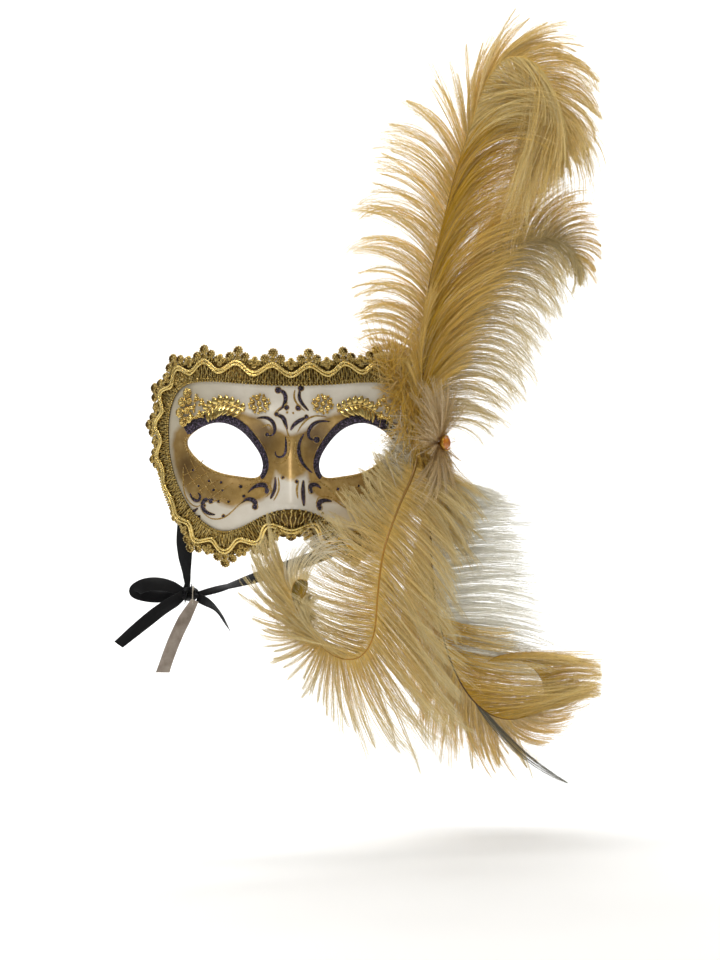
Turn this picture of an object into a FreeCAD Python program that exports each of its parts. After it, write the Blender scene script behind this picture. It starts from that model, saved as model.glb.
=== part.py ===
import FreeCAD, Part
import math
import os
from FreeCAD import Vector

# A Venetian half mask with a plume cluster on its left temple.
# Frame: +Z up, the mask faces -Y, the wearer's left is +X, and the origin is
# on the mask's front between the eyes.  Millimetres.

os.makedirs("parts", exist_ok=True)
doc = FreeCAD.newDocument("VenetianMask")

# ---------------------------------------------------------------- dimensions
DIMENSIONS = {
    # base curve of the face, an ellipse seen from above
    "FaceHalfWidth": 106.0,
    "FaceDepth": 80.0,
    "UnrollRadius": 96.0,
    "ShellThickness": 2.2,
    # relief of the face
    "BrowHeight": 3.5,
    "SocketDepth": 7.0,
    "CheekHeight": 5.0,
    "NoseHeight": 26.0,
    "NoseTipDrop": 38.0,
    # galloon braid
    "BraidInside": 13.0,
    "BraidOutside": 4.0,
    "BraidThickness": 1.6,
    "ScallopHeight": 7.0,
    "GlueGap": 0.25,
    # brow trim
    "SprigLength": 26.0,
    "SprigStemDiameter": 1.4,
    "LeafLength": 7.0,
    "BallDiameter": 3.2,
    "NuggetSize": 5.0,
    # plume cluster
    "PadThickness": 2.6,
    "PadRadius": 13.0,
    "PadStandoff": 2.3,
    "QuillHeight": 8.6,
    "QuillDiameter": 2.4,
    "QuillTipDiameter": 0.9,
    "BindingWire": 1.2,
    "BindingClearance": 0.35,
    "VaneThickness": 2.4,
    "GemDiameter": 10.0,
    "GemHeight": 4.0,
    "SettingDiameter": 12.0,
    "SettingHeight": 2.5,
    "StemDiameter": 2.0,
    "HackleRadius": 20.0,
    "HackleThickness": 2.0,
    # ties and tag
    "RibbonWidth": 9.0,
    "RibbonPatchWidth": 16.0,
    "RibbonPatchHeight": 14.0,
    "KnotWidth": 13.0,
    "KnotHeight": 10.0,
    "KnotDepth": 8.0,
    "TagWidth": 8.5,
    "TagLength": 53.0,
    "TagThickness": 0.6,
    "TagTilt": 24.0,
    "ThreadDiameter": 0.8,
}

sheet = doc.addObject("Spreadsheet::Sheet", "Dimensions")
for row, (word, value) in enumerate(DIMENSIONS.items(), start=1):
    sheet.set("A%d" % row, word)
    sheet.set("B%d" % row, str(value))
    sheet.setAlias("B%d" % row, word)
doc.recompute()


def size(word):
    """The value that the spreadsheet holds under an alias."""
    return float(sheet.get(word))


def bound(obj, **cells):
    """Bind properties of a document object to expressions on the sheet."""
    for name, text in cells.items():
        obj.setExpression(name, text)


def feature(label, shape, placement=None):
    """A Part::Feature with its own label, its shape and then its placement."""
    obj = doc.addObject("Part::Feature", label)
    obj.Label = label
    obj.Shape = shape
    obj.Placement = placement or FreeCAD.Placement()
    SUBPARTS.append(obj)
    return obj


def name_subpart(obj, label):
    """Give a document object its label and count it as a sub-part."""
    obj.Label = label
    SUBPARTS.append(obj)
    return obj


SUBPARTS = []
FACE_W = size("FaceHalfWidth")
FACE_D = size("FaceDepth")
UNROLL = size("UnrollRadius")
SHELL = size("ShellThickness")
GAP = size("GlueGap")

# ------------------------------------------------------------- face surface
BROW_Z = 17.0
SOCKET_X = 42.0
CHEEK = (46.0, -36.0)
NOSE_ROOT_Z = 20.0
NOSE_UNDERSIDE = 36.0


def bump(x, width):
    return math.exp(-((x / width) ** 2))


def face_relief(x, z):
    """Depth added to the base curve: brow, sockets, cheeks and nose."""
    y = 0.0022 * max(z - 10.0, 0.0) ** 2
    y += 0.0035 * max(-20.0 - z, 0.0) ** 2
    y -= size_brow * bump(z - BROW_Z, 9.0) * math.exp(-((x / 62.0) ** 4))
    y += size_socket * bump(abs(x) - SOCKET_X, 22.0) * bump(z + 1.0, 15.0)
    y -= size_cheek * bump(abs(x) - CHEEK[0], 24.0) * bump(z - CHEEK[1], 16.0)
    fall = (NOSE_ROOT_Z - z) / (NOSE_ROOT_Z + nose_drop)
    if fall > 0.0:
        rise = size_nose * min(fall, 1.0) ** 1.4
        below = min(max(-nose_drop - z, 0.0) / NOSE_UNDERSIDE, 1.0)
        rise *= 0.5 + 0.5 * math.cos(math.pi * below)
        y -= rise * bump(x, 8.0 + 7.0 * min(fall, 1.0))
    return y


size_brow = size("BrowHeight")
size_socket = size("SocketDepth")
size_cheek = size("CheekHeight")
size_nose = size("NoseHeight")
nose_drop = size("NoseTipDrop")


def on_face(s, z):
    """Point of the front surface, s mm round the face and z mm up."""
    angle = s / UNROLL
    x = FACE_W * math.sin(angle)
    y = FACE_D * (1.0 - math.cos(angle))
    return Vector(x, y + face_relief(x, z), z)


def face_normal(s, z):
    """Unit normal of the front surface, away from the wearer."""
    step = 0.5
    across = on_face(s + step, z) - on_face(s - step, z)
    upward = on_face(s, z + step) - on_face(s, z - step)
    return across.cross(upward).normalize()


def off_face(s, z, height):
    """Point that stands a height off the front surface."""
    return on_face(s, z) + face_normal(s, z) * height


def unrolled(x):
    """Distance round the face for a given x."""
    return UNROLL * math.asin(x / FACE_W)


# --------------------------------------------------------- surface builders
def uniform_knots(count, low, high):
    spans = count - 3
    return [low + (high - low) * i / spans for i in range(spans + 1)]


def pole_places(knots):
    """Greville places of a clamped cubic, where its poles are set."""
    full = [knots[0]] * 3 + knots + [knots[-1]] * 3
    return [sum(full[i + 1:i + 4]) / 3.0 for i in range(len(full) - 4)]


def smooth_surface(place, u_range, v_range, u_count, v_count):
    """Cubic surface whose parameters are the arguments of place(u, v)."""
    u_knots = uniform_knots(u_count, *u_range)
    v_knots = uniform_knots(v_count, *v_range)
    poles = [[place(u, v) for v in pole_places(v_knots)] for u in pole_places(u_knots)]
    u_mults = [4] + [1] * (len(u_knots) - 2) + [4]
    v_mults = [4] + [1] * (len(v_knots) - 2) + [4]
    surface = Part.BSplineSurface()
    surface.buildFromPolesMultsKnots(
        poles, u_mults, v_mults, u_knots, v_knots, False, False, 3, 3)
    return surface


def closed_solid(faces):
    shell = Part.makeShell(faces)
    shell.sewShape()
    solid = Part.makeSolid(shell)
    if solid.Volume < 0:
        solid.reverse()
    return solid


def trimmed_slab(top, bottom, outline):
    """Solid between two surfaces with one outline in their parameters."""
    rim_top = outline.toShape(top)
    rim_bottom = outline.toShape(bottom)
    faces = [Part.Face(top, Part.Wire([rim_top])), Part.Face(bottom, Part.Wire([rim_bottom]))]
    faces.append(Part.makeRuledSurface(rim_top, rim_bottom))
    return closed_solid(faces)


def patch_slab(place, u_range, v_range, low, high, u_count, v_count):
    """Four-sided solid between place(u, v, low) and place(u, v, high)."""
    top = smooth_surface(lambda u, v: place(u, v, high), u_range, v_range, u_count, v_count)
    bottom = smooth_surface(lambda u, v: place(u, v, low), u_range, v_range, u_count, v_count)
    faces = [top.toShape(), bottom.toShape()]
    for upper, lower in zip(boundary(top, u_range, v_range), boundary(bottom, u_range, v_range)):
        faces.append(Part.makeRuledSurface(upper, lower))
    return closed_solid(faces)


def boundary(surface, u_range, v_range):
    """The four side edges of a surface."""
    sides = [surface.uIso(u).toShape() for u in u_range]
    return sides + [surface.vIso(v).toShape() for v in v_range]


def closed_curve_2d(points):
    curve = Part.Geom2d.BSplineCurve2d()
    curve.interpolate([FreeCAD.Base.Vector2d(*p) for p in points], PeriodicFlag=True)
    return curve


def closed_prism(points, direction, origin):
    """Prism with a smooth closed outline of points laid in a plane."""
    curve = Part.BSplineCurve()
    curve.interpolate([origin(*p) for p in points], PeriodicFlag=True)
    return Part.Face(Part.Wire([curve.toShape()])).extrude(direction)


def sweep_quill(route, root_diameter, tip_diameter, count=26):
    """Tapered round quill along a smooth curve through the route."""
    curve = Part.BSplineCurve()
    curve.interpolate([Vector(*p) for p in route])
    first, last = curve.FirstParameter, curve.LastParameter
    rings = []
    for i in range(count + 1):
        share = i / count
        at = first + (last - first) * share
        diameter = root_diameter + (tip_diameter - root_diameter) * share
        circle = Part.Circle(curve.value(at), Vector(*curve.tangent(at)[0]), diameter / 2.0)
        rings.append(circle)
    return loft_rings(rings), curve


def loft_rings(rings):
    """Smooth solid through circles, each turned to start on the same side."""
    wires = []
    start = None
    for ring in rings:
        normal = ring.Axis
        guide = start or Vector(0, 1, 0)
        side = (guide - normal * guide.dot(normal)).normalize()
        start = side
        up = normal.cross(side)
        points = []
        for k in range(8):
            turn = 2.0 * math.pi * k / 8.0
            points.append(ring.Center + (side * math.cos(turn) + up * math.sin(turn)) * ring.Radius)
        curve = Part.BSplineCurve()
        curve.interpolate(points, PeriodicFlag=True)
        wires.append(Part.Wire([curve.toShape()]))
    return Part.makeLoft(wires, True, False)


# -------------------------------------------------------------- mask shell
# Half outline of the shell from the top middle down the left side, as
# (distance round the face, height).
HALF_OUTLINE = [
    (0, 51.5), (28, 53), (55, 55), (78, 50), (92, 34), (97, 8),
    (93, -17), (81, -41), (65, -59), (45, -69), (24, -65), (0, -54),
]
# Eye hole, wearer's left, as (x, z).
EYE_OUTLINE = [
    (18.5, -15), (24, 0), (35, 11), (48, 15), (61, 11), (69.5, 3),
    (62, -9), (47, -18), (31, -21), (20.5, -20),
]


def mirrored(points):
    return [(-a, b) for a, b in points]


def outline_curve():
    points = HALF_OUTLINE + mirrored(HALF_OUTLINE[-2:0:-1])
    return closed_curve_2d(points)


OUTLINE = outline_curve()
FACE_RANGE = (-115.0, 115.0)
HEIGHT_RANGE = (-85.0, 72.0)


def make_shell():
    front = smooth_surface(lambda s, z: off_face(s, z, 0.0), FACE_RANGE, HEIGHT_RANGE, 96, 66)
    back = smooth_surface(lambda s, z: off_face(s, z, -SHELL), FACE_RANGE, HEIGHT_RANGE, 96, 66)
    shell = trimmed_slab(front, back, OUTLINE)
    for side in (EYE_OUTLINE, mirrored(EYE_OUTLINE)):
        hole = closed_prism(side, Vector(0, 160, 0), lambda x, z: Vector(x, -60, z))
        shell = shell.cut(hole)
    return shell


feature("mask_shell", make_shell())

# ------------------------------------------------------------ galloon braid
BRAID_IN = size("BraidInside")
BRAID_OUT = size("BraidOutside")
BRAID_T = size("BraidThickness")
SCALLOP = size("ScallopHeight")
SCALLOP_COUNT = 25
LOWER_TEMPLE = 0.30
LOW_SPAN = 0.055
# Where each strip starts and ends, as shares of the outline from the top
# middle, positive on the left side.
BRAID_STRIPS = {
    "braid_top": (-0.155, 0.155),
    "braid_left_temple": (0.158, 0.342),
    "braid_bottom": (0.345, 0.655),
    "braid_right_temple": (-0.342, -0.158),
}


def along_outline(share):
    """Point of the outline and its outward normal at a share of its length."""
    first, last = OUTLINE.FirstParameter, OUTLINE.LastParameter
    at = OUTLINE.parameterAtDistance(OUTLINE.length() * (share % 1.0), first)
    at = min(max(at, first), last)
    point = OUTLINE.value(at)
    tangent = OUTLINE.tangent(at)
    return point, tangent


def scallop(share):
    """Height of the scalloped edge, 0 to 1, low round the lower temples."""
    wave = abs(math.sin(math.pi * share * SCALLOP_COUNT)) ** 0.7
    return wave * (1.0 - 0.8 * bump(abs(share) - LOWER_TEMPLE, LOW_SPAN))


def braid_place(share, across, height):
    """Point of the braid: across is 0 at its inner and 1 at its outer edge."""
    point, tangent = along_outline(share)
    outward = (-tangent.y, tangent.x)
    if outward[0] * point.x + outward[1] * point.y < 0:
        outward = (tangent.y, -tangent.x)
    outer = BRAID_OUT + SCALLOP * scallop(share)
    reach = -BRAID_IN + (BRAID_IN + outer) * across
    return off_face(point.x + outward[0] * reach, point.y + outward[1] * reach, height)


for label, shares in BRAID_STRIPS.items():
    strip = patch_slab(braid_place, shares, (0.0, 1.0), GAP, GAP + BRAID_T, 90, 12)
    feature(label, strip)


# --------------------------------------------------------------- brow trim
BALL = size("BallDiameter")


def ball(s, z, diameter, lift=0.0):
    """A ball glued on the face."""
    centre = off_face(s, z, GAP + diameter / 2.0 + lift)
    return Part.makeSphere(diameter / 2.0, centre)


def flower_of_balls(side, s, z, petals, ring_radius):
    """Balls in a ring round a middle ball."""
    balls = [ball(side * s, z, BALL)]
    for k in range(petals):
        turn = 2.0 * math.pi * (k + 0.25) / petals
        balls.append(ball(side * (s + ring_radius * math.cos(turn)), z + ring_radius * math.sin(turn), BALL))
    return Part.makeCompound(balls)


def ball_cluster(side, places):
    return Part.makeCompound([ball(side * s, z, BALL) for s, z in places])


def leaf(base, tip, half_width, thickness):
    """A pointed leaf as an elongated octahedron with soft proportions."""
    middle = base + (tip - base) * 0.45
    along = (tip - base).normalize()
    out = Vector(0, -1, 0)
    side = along.cross(out).normalize()
    out = side.cross(along).normalize()
    ring = [
        middle + side * half_width,
        middle + out * thickness,
        middle - side * half_width,
        middle - out * thickness * 0.4,
    ]
    faces = []
    for k in range(4):
        a, b = ring[k], ring[(k + 1) % 4]
        for apex in (base, tip):
            faces.append(Part.Face(Part.makePolygon([apex, a, b, apex])))
    return closed_solid(faces)


def leaf_sprig(side):
    """Curved stem over the eye with pairs of leaves."""
    length = size("SprigLength")
    stem_radius = size("SprigStemDiameter") / 2.0
    leaf_length = size("LeafLength")
    lift = GAP + stem_radius
    stem_points = []
    for k in range(7):
        share = k / 6.0
        s = side * (SPRIG_START + length * share)
        z = SPRIG_HEIGHT + 5.0 * math.sin(math.pi * share)
        stem_points.append(off_face(s, z, lift))
    curve = Part.BSplineCurve()
    curve.interpolate(stem_points)
    first, last = curve.FirstParameter, curve.LastParameter
    rings = []
    for k in range(13):
        at = first + (last - first) * k / 12.0
        rings.append(Part.Circle(curve.value(at), Vector(*curve.tangent(at)[0]), stem_radius))
    pieces = [loft_rings(rings)]
    for k in range(8):
        at = first + (last - first) * (k + 0.6) / 8.2
        for up in (1.0, -1.0):
            root = curve.value(at)
            direction = Vector(side * 0.55, 0.12, up).normalize()
            base = root + Vector(0, -0.35, 0) + direction * (stem_radius + 0.6)
            pieces.append(leaf(base, base + direction * leaf_length * 0.62, 1.3, 0.8))
    return Part.makeCompound(pieces)


SPRIG_START = 28.0
SPRIG_HEIGHT = 22.0
ROSETTE = (19.0, 27.0)
OUTER_BALLS = [(56, 28), (60, 31), (63, 25), (58, 20), (64, 19)]
NUGGETS = [(67, 35), (71, 29), (73, 22), (70, 16)]

for name, side in (("right", -1), ("left", 1)):
    feature("brow_sprig_" + name, leaf_sprig(side))
    feature("brow_rosette_" + name, flower_of_balls(side, ROSETTE[0], ROSETTE[1], 6, 4.0))
    feature("brow_beads_" + name, ball_cluster(side, OUTER_BALLS))


def nugget(s, z, width):
    """A faceted gold chip glued on the face."""
    stand = off_face(s, z, GAP + width * 0.3)
    body = Part.makeBox(width, width * 0.5, width * 0.8, Vector(-width / 2, -width / 4, -width * 0.4))
    body = body.makeChamfer(width * 0.14, body.Edges)
    turn = FreeCAD.Rotation(Vector(0, -1, 0), face_normal(s, z))
    body.Placement = FreeCAD.Placement(stand, turn)
    return body


feature("brow_nuggets_right", Part.makeCompound(
    [nugget(-s, z, size("NuggetSize")) for s, z in NUGGETS]))

# ----------------------------------------------------------- plume cluster
CLUSTER = (88.0, 2.0)
CLUSTER_NORMAL = face_normal(*CLUSTER)
CLUSTER_ALONG = Vector(0, 0, 1).cross(CLUSTER_NORMAL).normalize()


def cluster_point(along, z, height):
    """Point over the temple: along runs back round the face."""
    foot = on_face(*CLUSTER) + CLUSTER_ALONG * along + CLUSTER_NORMAL * height
    return Vector(foot.x, foot.y, z)


def circle_points(centre, radius, count=8):
    turns = [2.0 * math.pi * k / count for k in range(count)]
    return [(centre[0] + radius * math.cos(a), centre[1] + radius * math.sin(a)) for a in turns]


def make_pad():
    low = size("PadStandoff")
    high = low + size("PadThickness")
    reach = size("PadRadius") + 4.0
    s_range = (CLUSTER[0] - reach, CLUSTER[0] + reach)
    z_range = (CLUSTER[1] - reach, CLUSTER[1] + reach)
    top = smooth_surface(lambda s, z: off_face(s, z, high), s_range, z_range, 12, 12)
    bottom = smooth_surface(lambda s, z: off_face(s, z, low), s_range, z_range, 12, 12)
    return trimmed_slab(top, bottom, closed_curve_2d(circle_points(CLUSTER, size("PadRadius"))))


feature("plume_pad", make_pad())

QUILL_H = size("QuillHeight")
ROOTS = {
    "tall_plume": cluster_point(1.0, 12.0, QUILL_H),
    "rear_plume": cluster_point(8.5, 8.0, QUILL_H),
    "front_plume": cluster_point(-5.0, -6.0, QUILL_H),
    "side_plume": cluster_point(6.5, -9.0, QUILL_H),
}
# The quills' routes beyond their bound roots, root to tip.
ROUTES = {
    "tall_plume": [
        (90, 26, 45), (91, 25, 80), (96, 24, 117), (105, 24, 155), (113, 24, 187), (124, 24, 222),
        (135, 23, 252), (147, 20, 264), (162, 16, 262), (174, 12, 247), (180, 7, 222), (180, 4, 200),
    ],
    "rear_plume": [
        (98, 36, 26), (103, 38.5, 45), (113, 39, 68), (124, 39, 92), (139, 39, 116),
        (157, 39, 136), (175, 38, 146), (188, 36, 142), (194, 34, 129),
    ],
    "front_plume": [
        (82, 16, -20), (75, 8, -34), (68, -1, -49), (61, -10, -67), (57, -15, -88), (55, -16, -110),
        (52, -17, -127), (43, -18, -138), (31, -19, -138), (19, -20, -130), (9, -21, -118),
        (2, -22, -104), (0, -22.5, -94), (4, -23, -87), (10, -23, -88),
    ],
    "side_plume": [
        (96, 35, -30), (97, 38, -58), (99, 38, -96), (104, 38, -125), (113, 38, -153), (127, 38, -176),
        (145, 38, -188), (163, 37, -187), (175, 36, -176), (174, 35, -161), (160, 33, -148),
        (144, 32, -144), (136, 32, -148),
    ],
}
# Outlines of the barbs as (x, z), and the depth of their back face as (z, y).
VANES = {
    "tall_plume": (
        [(92, 50), (100, 72), (124, 92), (150, 115), (172, 150), (190, 190), (198, 230), (196, 268),
         (174, 290), (138, 276), (104, 254), (74, 234), (56, 196), (62, 158), (50, 122), (54, 98),
         (76, 86)],
        [(40, 27.6), (80, 26.8), (117, 25.8), (222, 25.8), (300, 24.5)],
    ),
    "rear_plume": (
        [(112, 48), (128, 24), (148, 22), (156, 45), (166, 80), (184, 105), (198, 135), (190, 158),
         (164, 166), (134, 150), (111, 116), (102, 80)],
        [(10, 40.5), (45, 40.5), (100, 40.5), (170, 40.5)],
    ),
    "front_plume": (
        [(76, -28), (84, -50), (84, -85), (88, -115), (104, -145), (118, -172), (102, -182),
         (68, -166), (35, -156), (8, -138), (-10, -112), (-17, -86), (0, -73), (25, -80),
         (44, -76), (58, -52), (66, -33)],
        [(-20, 18.5), (-34, 10.3), (-49, 1.2), (-67, -8), (-88, -13.3), (-138, -16.2), (-190, -18)],
    ),
    "side_plume": (
        [(102, -48), (122, -54), (136, -78), (154, -115), (174, -132), (199, -157), (188, -178),
         (178, -206), (152, -220), (120, -204), (98, -168), (86, -128), (84, -92), (92, -64)],
        [(-40, 39.6), (-96, 39.6), (-190, 39.6), (-230, 39.6)],
    ),
}
ROOT_LEAD = 3.0
VANE_T = size("VaneThickness")


def make_vane(outline, depths):
    """Thin body of the barbs: a front outline met with a side profile."""
    front = closed_prism(outline, Vector(0, 140, 0), lambda x, z: Vector(x, -60, z))
    near, far = [], []
    for z, y in depths:
        near.append(Vector(-60, y, z))
        far.append(Vector(-60, y + VANE_T, z))
    near_curve = Part.BSplineCurve()
    near_curve.interpolate(near)
    far_curve = Part.BSplineCurve()
    far_curve.interpolate(far)
    edges = [near_curve.toShape(), Part.makeLine(near[-1], far[-1]),
             far_curve.toShape(), Part.makeLine(far[0], near[0])]
    side = Part.Face(Part.Wire(Part.__sortEdges__(edges))).extrude(Vector(300, 0, 0))
    return front.common(side)


for name, root in ROOTS.items():
    heading = (Vector(*ROUTES[name][0]) - root).normalize()
    route = [root - heading * ROOT_LEAD, root] + ROUTES[name]
    quill, curve = sweep_quill(route, size("QuillDiameter"), size("QuillTipDiameter"), 48)
    feature(name + "_quill", quill)
    feature(name + "_vane", make_vane(*VANES[name]).cut(quill))
    print(name, "root", root, "heading", heading)


def binding_ring(name):
    """Wire wrap round a quill root."""
    root = ROOTS[name]
    wire_radius = size("BindingWire") / 2.0
    ring_radius = size("QuillDiameter") / 2.0 + size("BindingClearance") + wire_radius
    heading = (Vector(*ROUTES[name][0]) - root).normalize()
    return Part.makeTorus(ring_radius, wire_radius, root, heading)


feature("quill_binding", Part.makeCompound([binding_ring(name) for name in ROOTS]))

# Gem, its cup and the hackles round it
GEM_BASE = 24.0
GEM_FACING = Vector(0.8, -0.6, 0)
gem_foot = cluster_point(0.0, CLUSTER[1], 0.0)
facing = FreeCAD.Rotation(Vector(0, 0, 1), GEM_FACING)
gem_place = FreeCAD.Placement(gem_foot + GEM_FACING * GEM_BASE, facing)


def revolved_body(label, outline, placement):
    """PartDesign body revolved about its own Z from a half outline (r, z)."""
    body = doc.addObject("PartDesign::Body", label)
    plane = [f for f in body.Origin.OriginFeatures if f.Role == "XZ_Plane"][0]
    sketch = body.newObject("Sketcher::SketchObject", label + "_profile")
    sketch.AttachmentSupport = [(plane, "")]
    sketch.MapMode = "FlatFace"
    for start, end in zip(outline, outline[1:] + outline[:1]):
        sketch.addGeometry(Part.LineSegment(Vector(*start, 0), Vector(*end, 0)), False)
    turned = body.newObject("PartDesign::Revolution", label + "_turned")
    turned.Profile = sketch
    turned.ReferenceAxis = (sketch, ["V_Axis"])
    turned.Angle = 360.0
    body.Placement = placement
    doc.recompute()
    return name_subpart(body, label)


setting_r = size("SettingDiameter") / 2.0
setting_top = size("SettingHeight")
stem_r = size("StemDiameter") / 2.0
gem_r = size("GemDiameter") / 2.0
gem_h = size("GemHeight")
stem_low = size("PadStandoff") + size("PadThickness") + 0.4 - GEM_BASE
revolved_body("gem_setting", [
    (0, stem_low), (stem_r, stem_low), (stem_r, -0.8), (setting_r - 1.0, -0.8), (setting_r, 0),
    (setting_r, setting_top), (gem_r + 0.1, setting_top), (gem_r + 0.1, 0.6), (0, 0.6),
], gem_place)
revolved_body("gem", [
    (0, 0.7), (gem_r * 0.7, 0.7), (gem_r, 1.6), (gem_r, 2.4), (gem_r * 0.78, 0.7 + gem_h * 0.75),
    (gem_r * 0.4, 0.7 + gem_h), (0, 0.7 + gem_h),
], gem_place)

hackle_r = size("HackleRadius")
hackle_t = size("HackleThickness")
revolved_body("hackle_spray", [
    (stem_r + 0.3, -3.4), (hackle_r, -6.0), (hackle_r, -6.0 + hackle_t), (stem_r + 0.3, -3.4 + hackle_t),
], gem_place)

# Outline of the down tuft as (distance round the face, height).
FLUFF = [(52, 34), (62, 26), (72, 32), (75, 48), (71, 64), (58, 74), (46, 70), (40, 58), (43, 44)]
FLUFF_LOW = 4.5
FLUFF_HIGH = 9.0


def make_fluff():
    s_range = (30.0, 85.0)
    z_range = (15.0, 85.0)
    top = smooth_surface(lambda s, z: off_face(s, z, FLUFF_HIGH), s_range, z_range, 16, 16)
    bottom = smooth_surface(lambda s, z: off_face(s, z, FLUFF_LOW), s_range, z_range, 16, 16)
    return trimmed_slab(top, bottom, closed_curve_2d(FLUFF))


feature("base_fluff", make_fluff())

# -------------------------------------------------------------------- ties
RIBBON = size("RibbonWidth")
RIBBON_T = 0.8


def patch_inside(s, z):
    half_w = size("RibbonPatchWidth") / 2.0
    half_h = size("RibbonPatchHeight") / 2.0
    low = -SHELL - GAP
    return patch_slab(off_face, (s - half_w, s + half_w), (z - half_h, z + half_h), low - 1.2, low, 8, 8)


feature("ribbon_patch_right", patch_inside(-67.0, -43.0))
feature("ribbon_patch_left", patch_inside(74.0, -36.0))


def rounded_path(points, label):
    """Straight runs joined by tangent arcs as large as the runs allow."""
    places = [Vector(*p) for p in points]
    edges = []
    at = places[0]
    radii = []
    for before, corner, after in zip(places, places[1:], places[2:]):
        into = (corner - before).normalize()
        out = (after - corner).normalize()
        half_turn = into.getAngle(out) / 2.0
        shorter = min((corner - before).Length, (after - corner).Length)
        reach = 0.45 * shorter
        radius = reach / math.tan(half_turn)
        radii.append(round(radius, 1))
        start = corner - into * reach
        end = corner + out * reach
        inward = (out - into).normalize()
        middle = corner + inward * (radius / math.cos(half_turn) - radius)
        edges.append(Part.LineSegment(at, start).toShape())
        edges.append(Part.Arc(start, middle, end).toShape())
        at = end
    edges.append(Part.LineSegment(at, places[-1]).toShape())
    wire = Part.Wire(edges)
    print(label, "arc radii", radii, "length", round(wire.Length, 1))
    return wire


def ribbon(points, label):
    """Flat satin strip along a rounded path, its face towards -Y."""
    path = rounded_path(points, label)
    places = [Vector(*p) for p in points]
    into = (places[1] - places[0]).normalize()
    across = into.cross(Vector(0, 1, 0)).normalize() * (RIBBON / 2.0)
    thick = into.cross(across).normalize() * (RIBBON_T / 2.0)
    start = places[0]
    corners = [start + across + thick, start - across + thick,
               start - across - thick, start + across - thick]
    section = Part.makePolygon(corners + [corners[0]])
    sweep = Part.BRepOffsetAPI.MakePipeShell(path)
    sweep.setBiNormalMode(thick.normalize())
    sweep.add(section)
    sweep.build()
    sweep.makeSolid()
    solid = sweep.shape()
    print(label, "volume", round(solid.Volume), "section x length", round(RIBBON * RIBBON_T * path.Length))
    return feature(label, solid)


KNOT = Vector(-69, 37, -101)
RIGHT_TIE = [(-70, 27.5, -51), (-71.5, 30, -62), (-71.5, 33, -75), (-70.5, 35.5, -87), (-69.5, 36.8, -96.5)]
LEFT_TIE = [
    (-62.5, 37, -101), (-49, 38.5, -97.5), (-32, 41, -92.5), (-11, 44, -86), (11, 45.5, -79),
    (32, 45, -71), (50, 42, -62), (64, 37, -52.5), (72, 32, -43),
]
TAIL_LONG = [(-75, 33, -103.5), (-86, 31.5, -110), (-98, 30.5, -119), (-109, 30.5, -128), (-116, 31, -134)]
TAIL_SHORT = [(-63, 36, -103), (-56, 35, -106), (-49.5, 34.5, -111), (-45, 34.5, -117.5), (-42, 34.5, -124)]
ribbon(RIGHT_TIE, "ribbon_right")
ribbon(LEFT_TIE, "ribbon_left")
ribbon(TAIL_LONG, "bow_tail_long")
ribbon(TAIL_SHORT, "bow_tail_short")

knot = doc.addObject("Part::Ellipsoid", "bow_knot")
bound(knot, Radius1="Dimensions.KnotHeight / 2 * 1mm", Radius2="Dimensions.KnotWidth / 2 * 1mm",
      Radius3="Dimensions.KnotDepth / 2 * 1mm")
knot.Placement = FreeCAD.Placement(KNOT, FreeCAD.Rotation())
name_subpart(knot, "bow_knot")

LOOP = [(-75.5, -100), (-84, -93), (-96, -91.5), (-104, -96.5), (-101, -103.5), (-88, -104)]
feature("bow_loop", closed_prism(LOOP, Vector(0, 6, 0), lambda x, z: Vector(x, 34.5, z)))


def make_tag():
    body = doc.addObject("PartDesign::Body", "hang_tag")
    plane = [f for f in body.Origin.OriginFeatures if f.Role == "XZ_Plane"][0]
    sketch = body.newObject("Sketcher::SketchObject", "tag_outline")
    sketch.AttachmentSupport = [(plane, "")]
    sketch.MapMode = "FlatFace"
    half = size("TagWidth") / 2.0
    drop = size("TagLength")
    corners = [(-half, 3), (half, 3), (half, 7 - drop), (-half, 3 - drop)]
    for start, end in zip(corners, corners[1:] + corners[:1]):
        sketch.addGeometry(Part.LineSegment(Vector(*start, 0), Vector(*end, 0)), False)
    sketch.addGeometry(Part.Circle(Vector(0, 0, 0), Vector(0, 0, 1), 1.3), False)
    pad = body.newObject("PartDesign::Pad", "tag_sheet")
    pad.Profile = sketch
    pad.Midplane = True
    bound(pad, Length="Dimensions.TagThickness * 1mm")
    body.Placement = FreeCAD.Placement(TAG_PIVOT, FreeCAD.Rotation(Vector(0, 1, 0), size("TagTilt")))
    doc.recompute()
    return name_subpart(body, "hang_tag")


TAG_PIVOT = Vector(-65.5, 27.5, -107)
THREAD_RING = 6.3
make_tag()

thread = doc.addObject("Part::Torus", "tag_thread")
bound(thread, Radius2="Dimensions.ThreadDiameter / 2 * 1mm")
thread.Radius1 = THREAD_RING
thread.Placement = FreeCAD.Placement(
    TAG_PIVOT + Vector(0, 0, THREAD_RING), FreeCAD.Rotation(Vector(0, 0, 1), Vector(1, 0, 0)))
name_subpart(thread, "tag_thread")

# ------------------------------------------------------------------ export
doc.recompute()
for obj in doc.Objects:
    if "Invalid" in obj.State or "Error" in obj.State:
        raise RuntimeError("object failed: " + obj.Name)
for obj in SUBPARTS:
    if obj.Shape.isNull() or not obj.Shape.isValid() or obj.Shape.Volume <= 0:
        raise RuntimeError("bad shape: " + obj.Label)
for obj in SUBPARTS:
    obj.Shape.exportStep("parts/%s.step" % obj.Label)
    print(obj.Label, round(obj.Shape.Volume), len(obj.Shape.Solids))
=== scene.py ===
import math
from collections import namedtuple

import bmesh
import bpy
import numpy as np
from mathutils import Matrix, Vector, geometry


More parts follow.
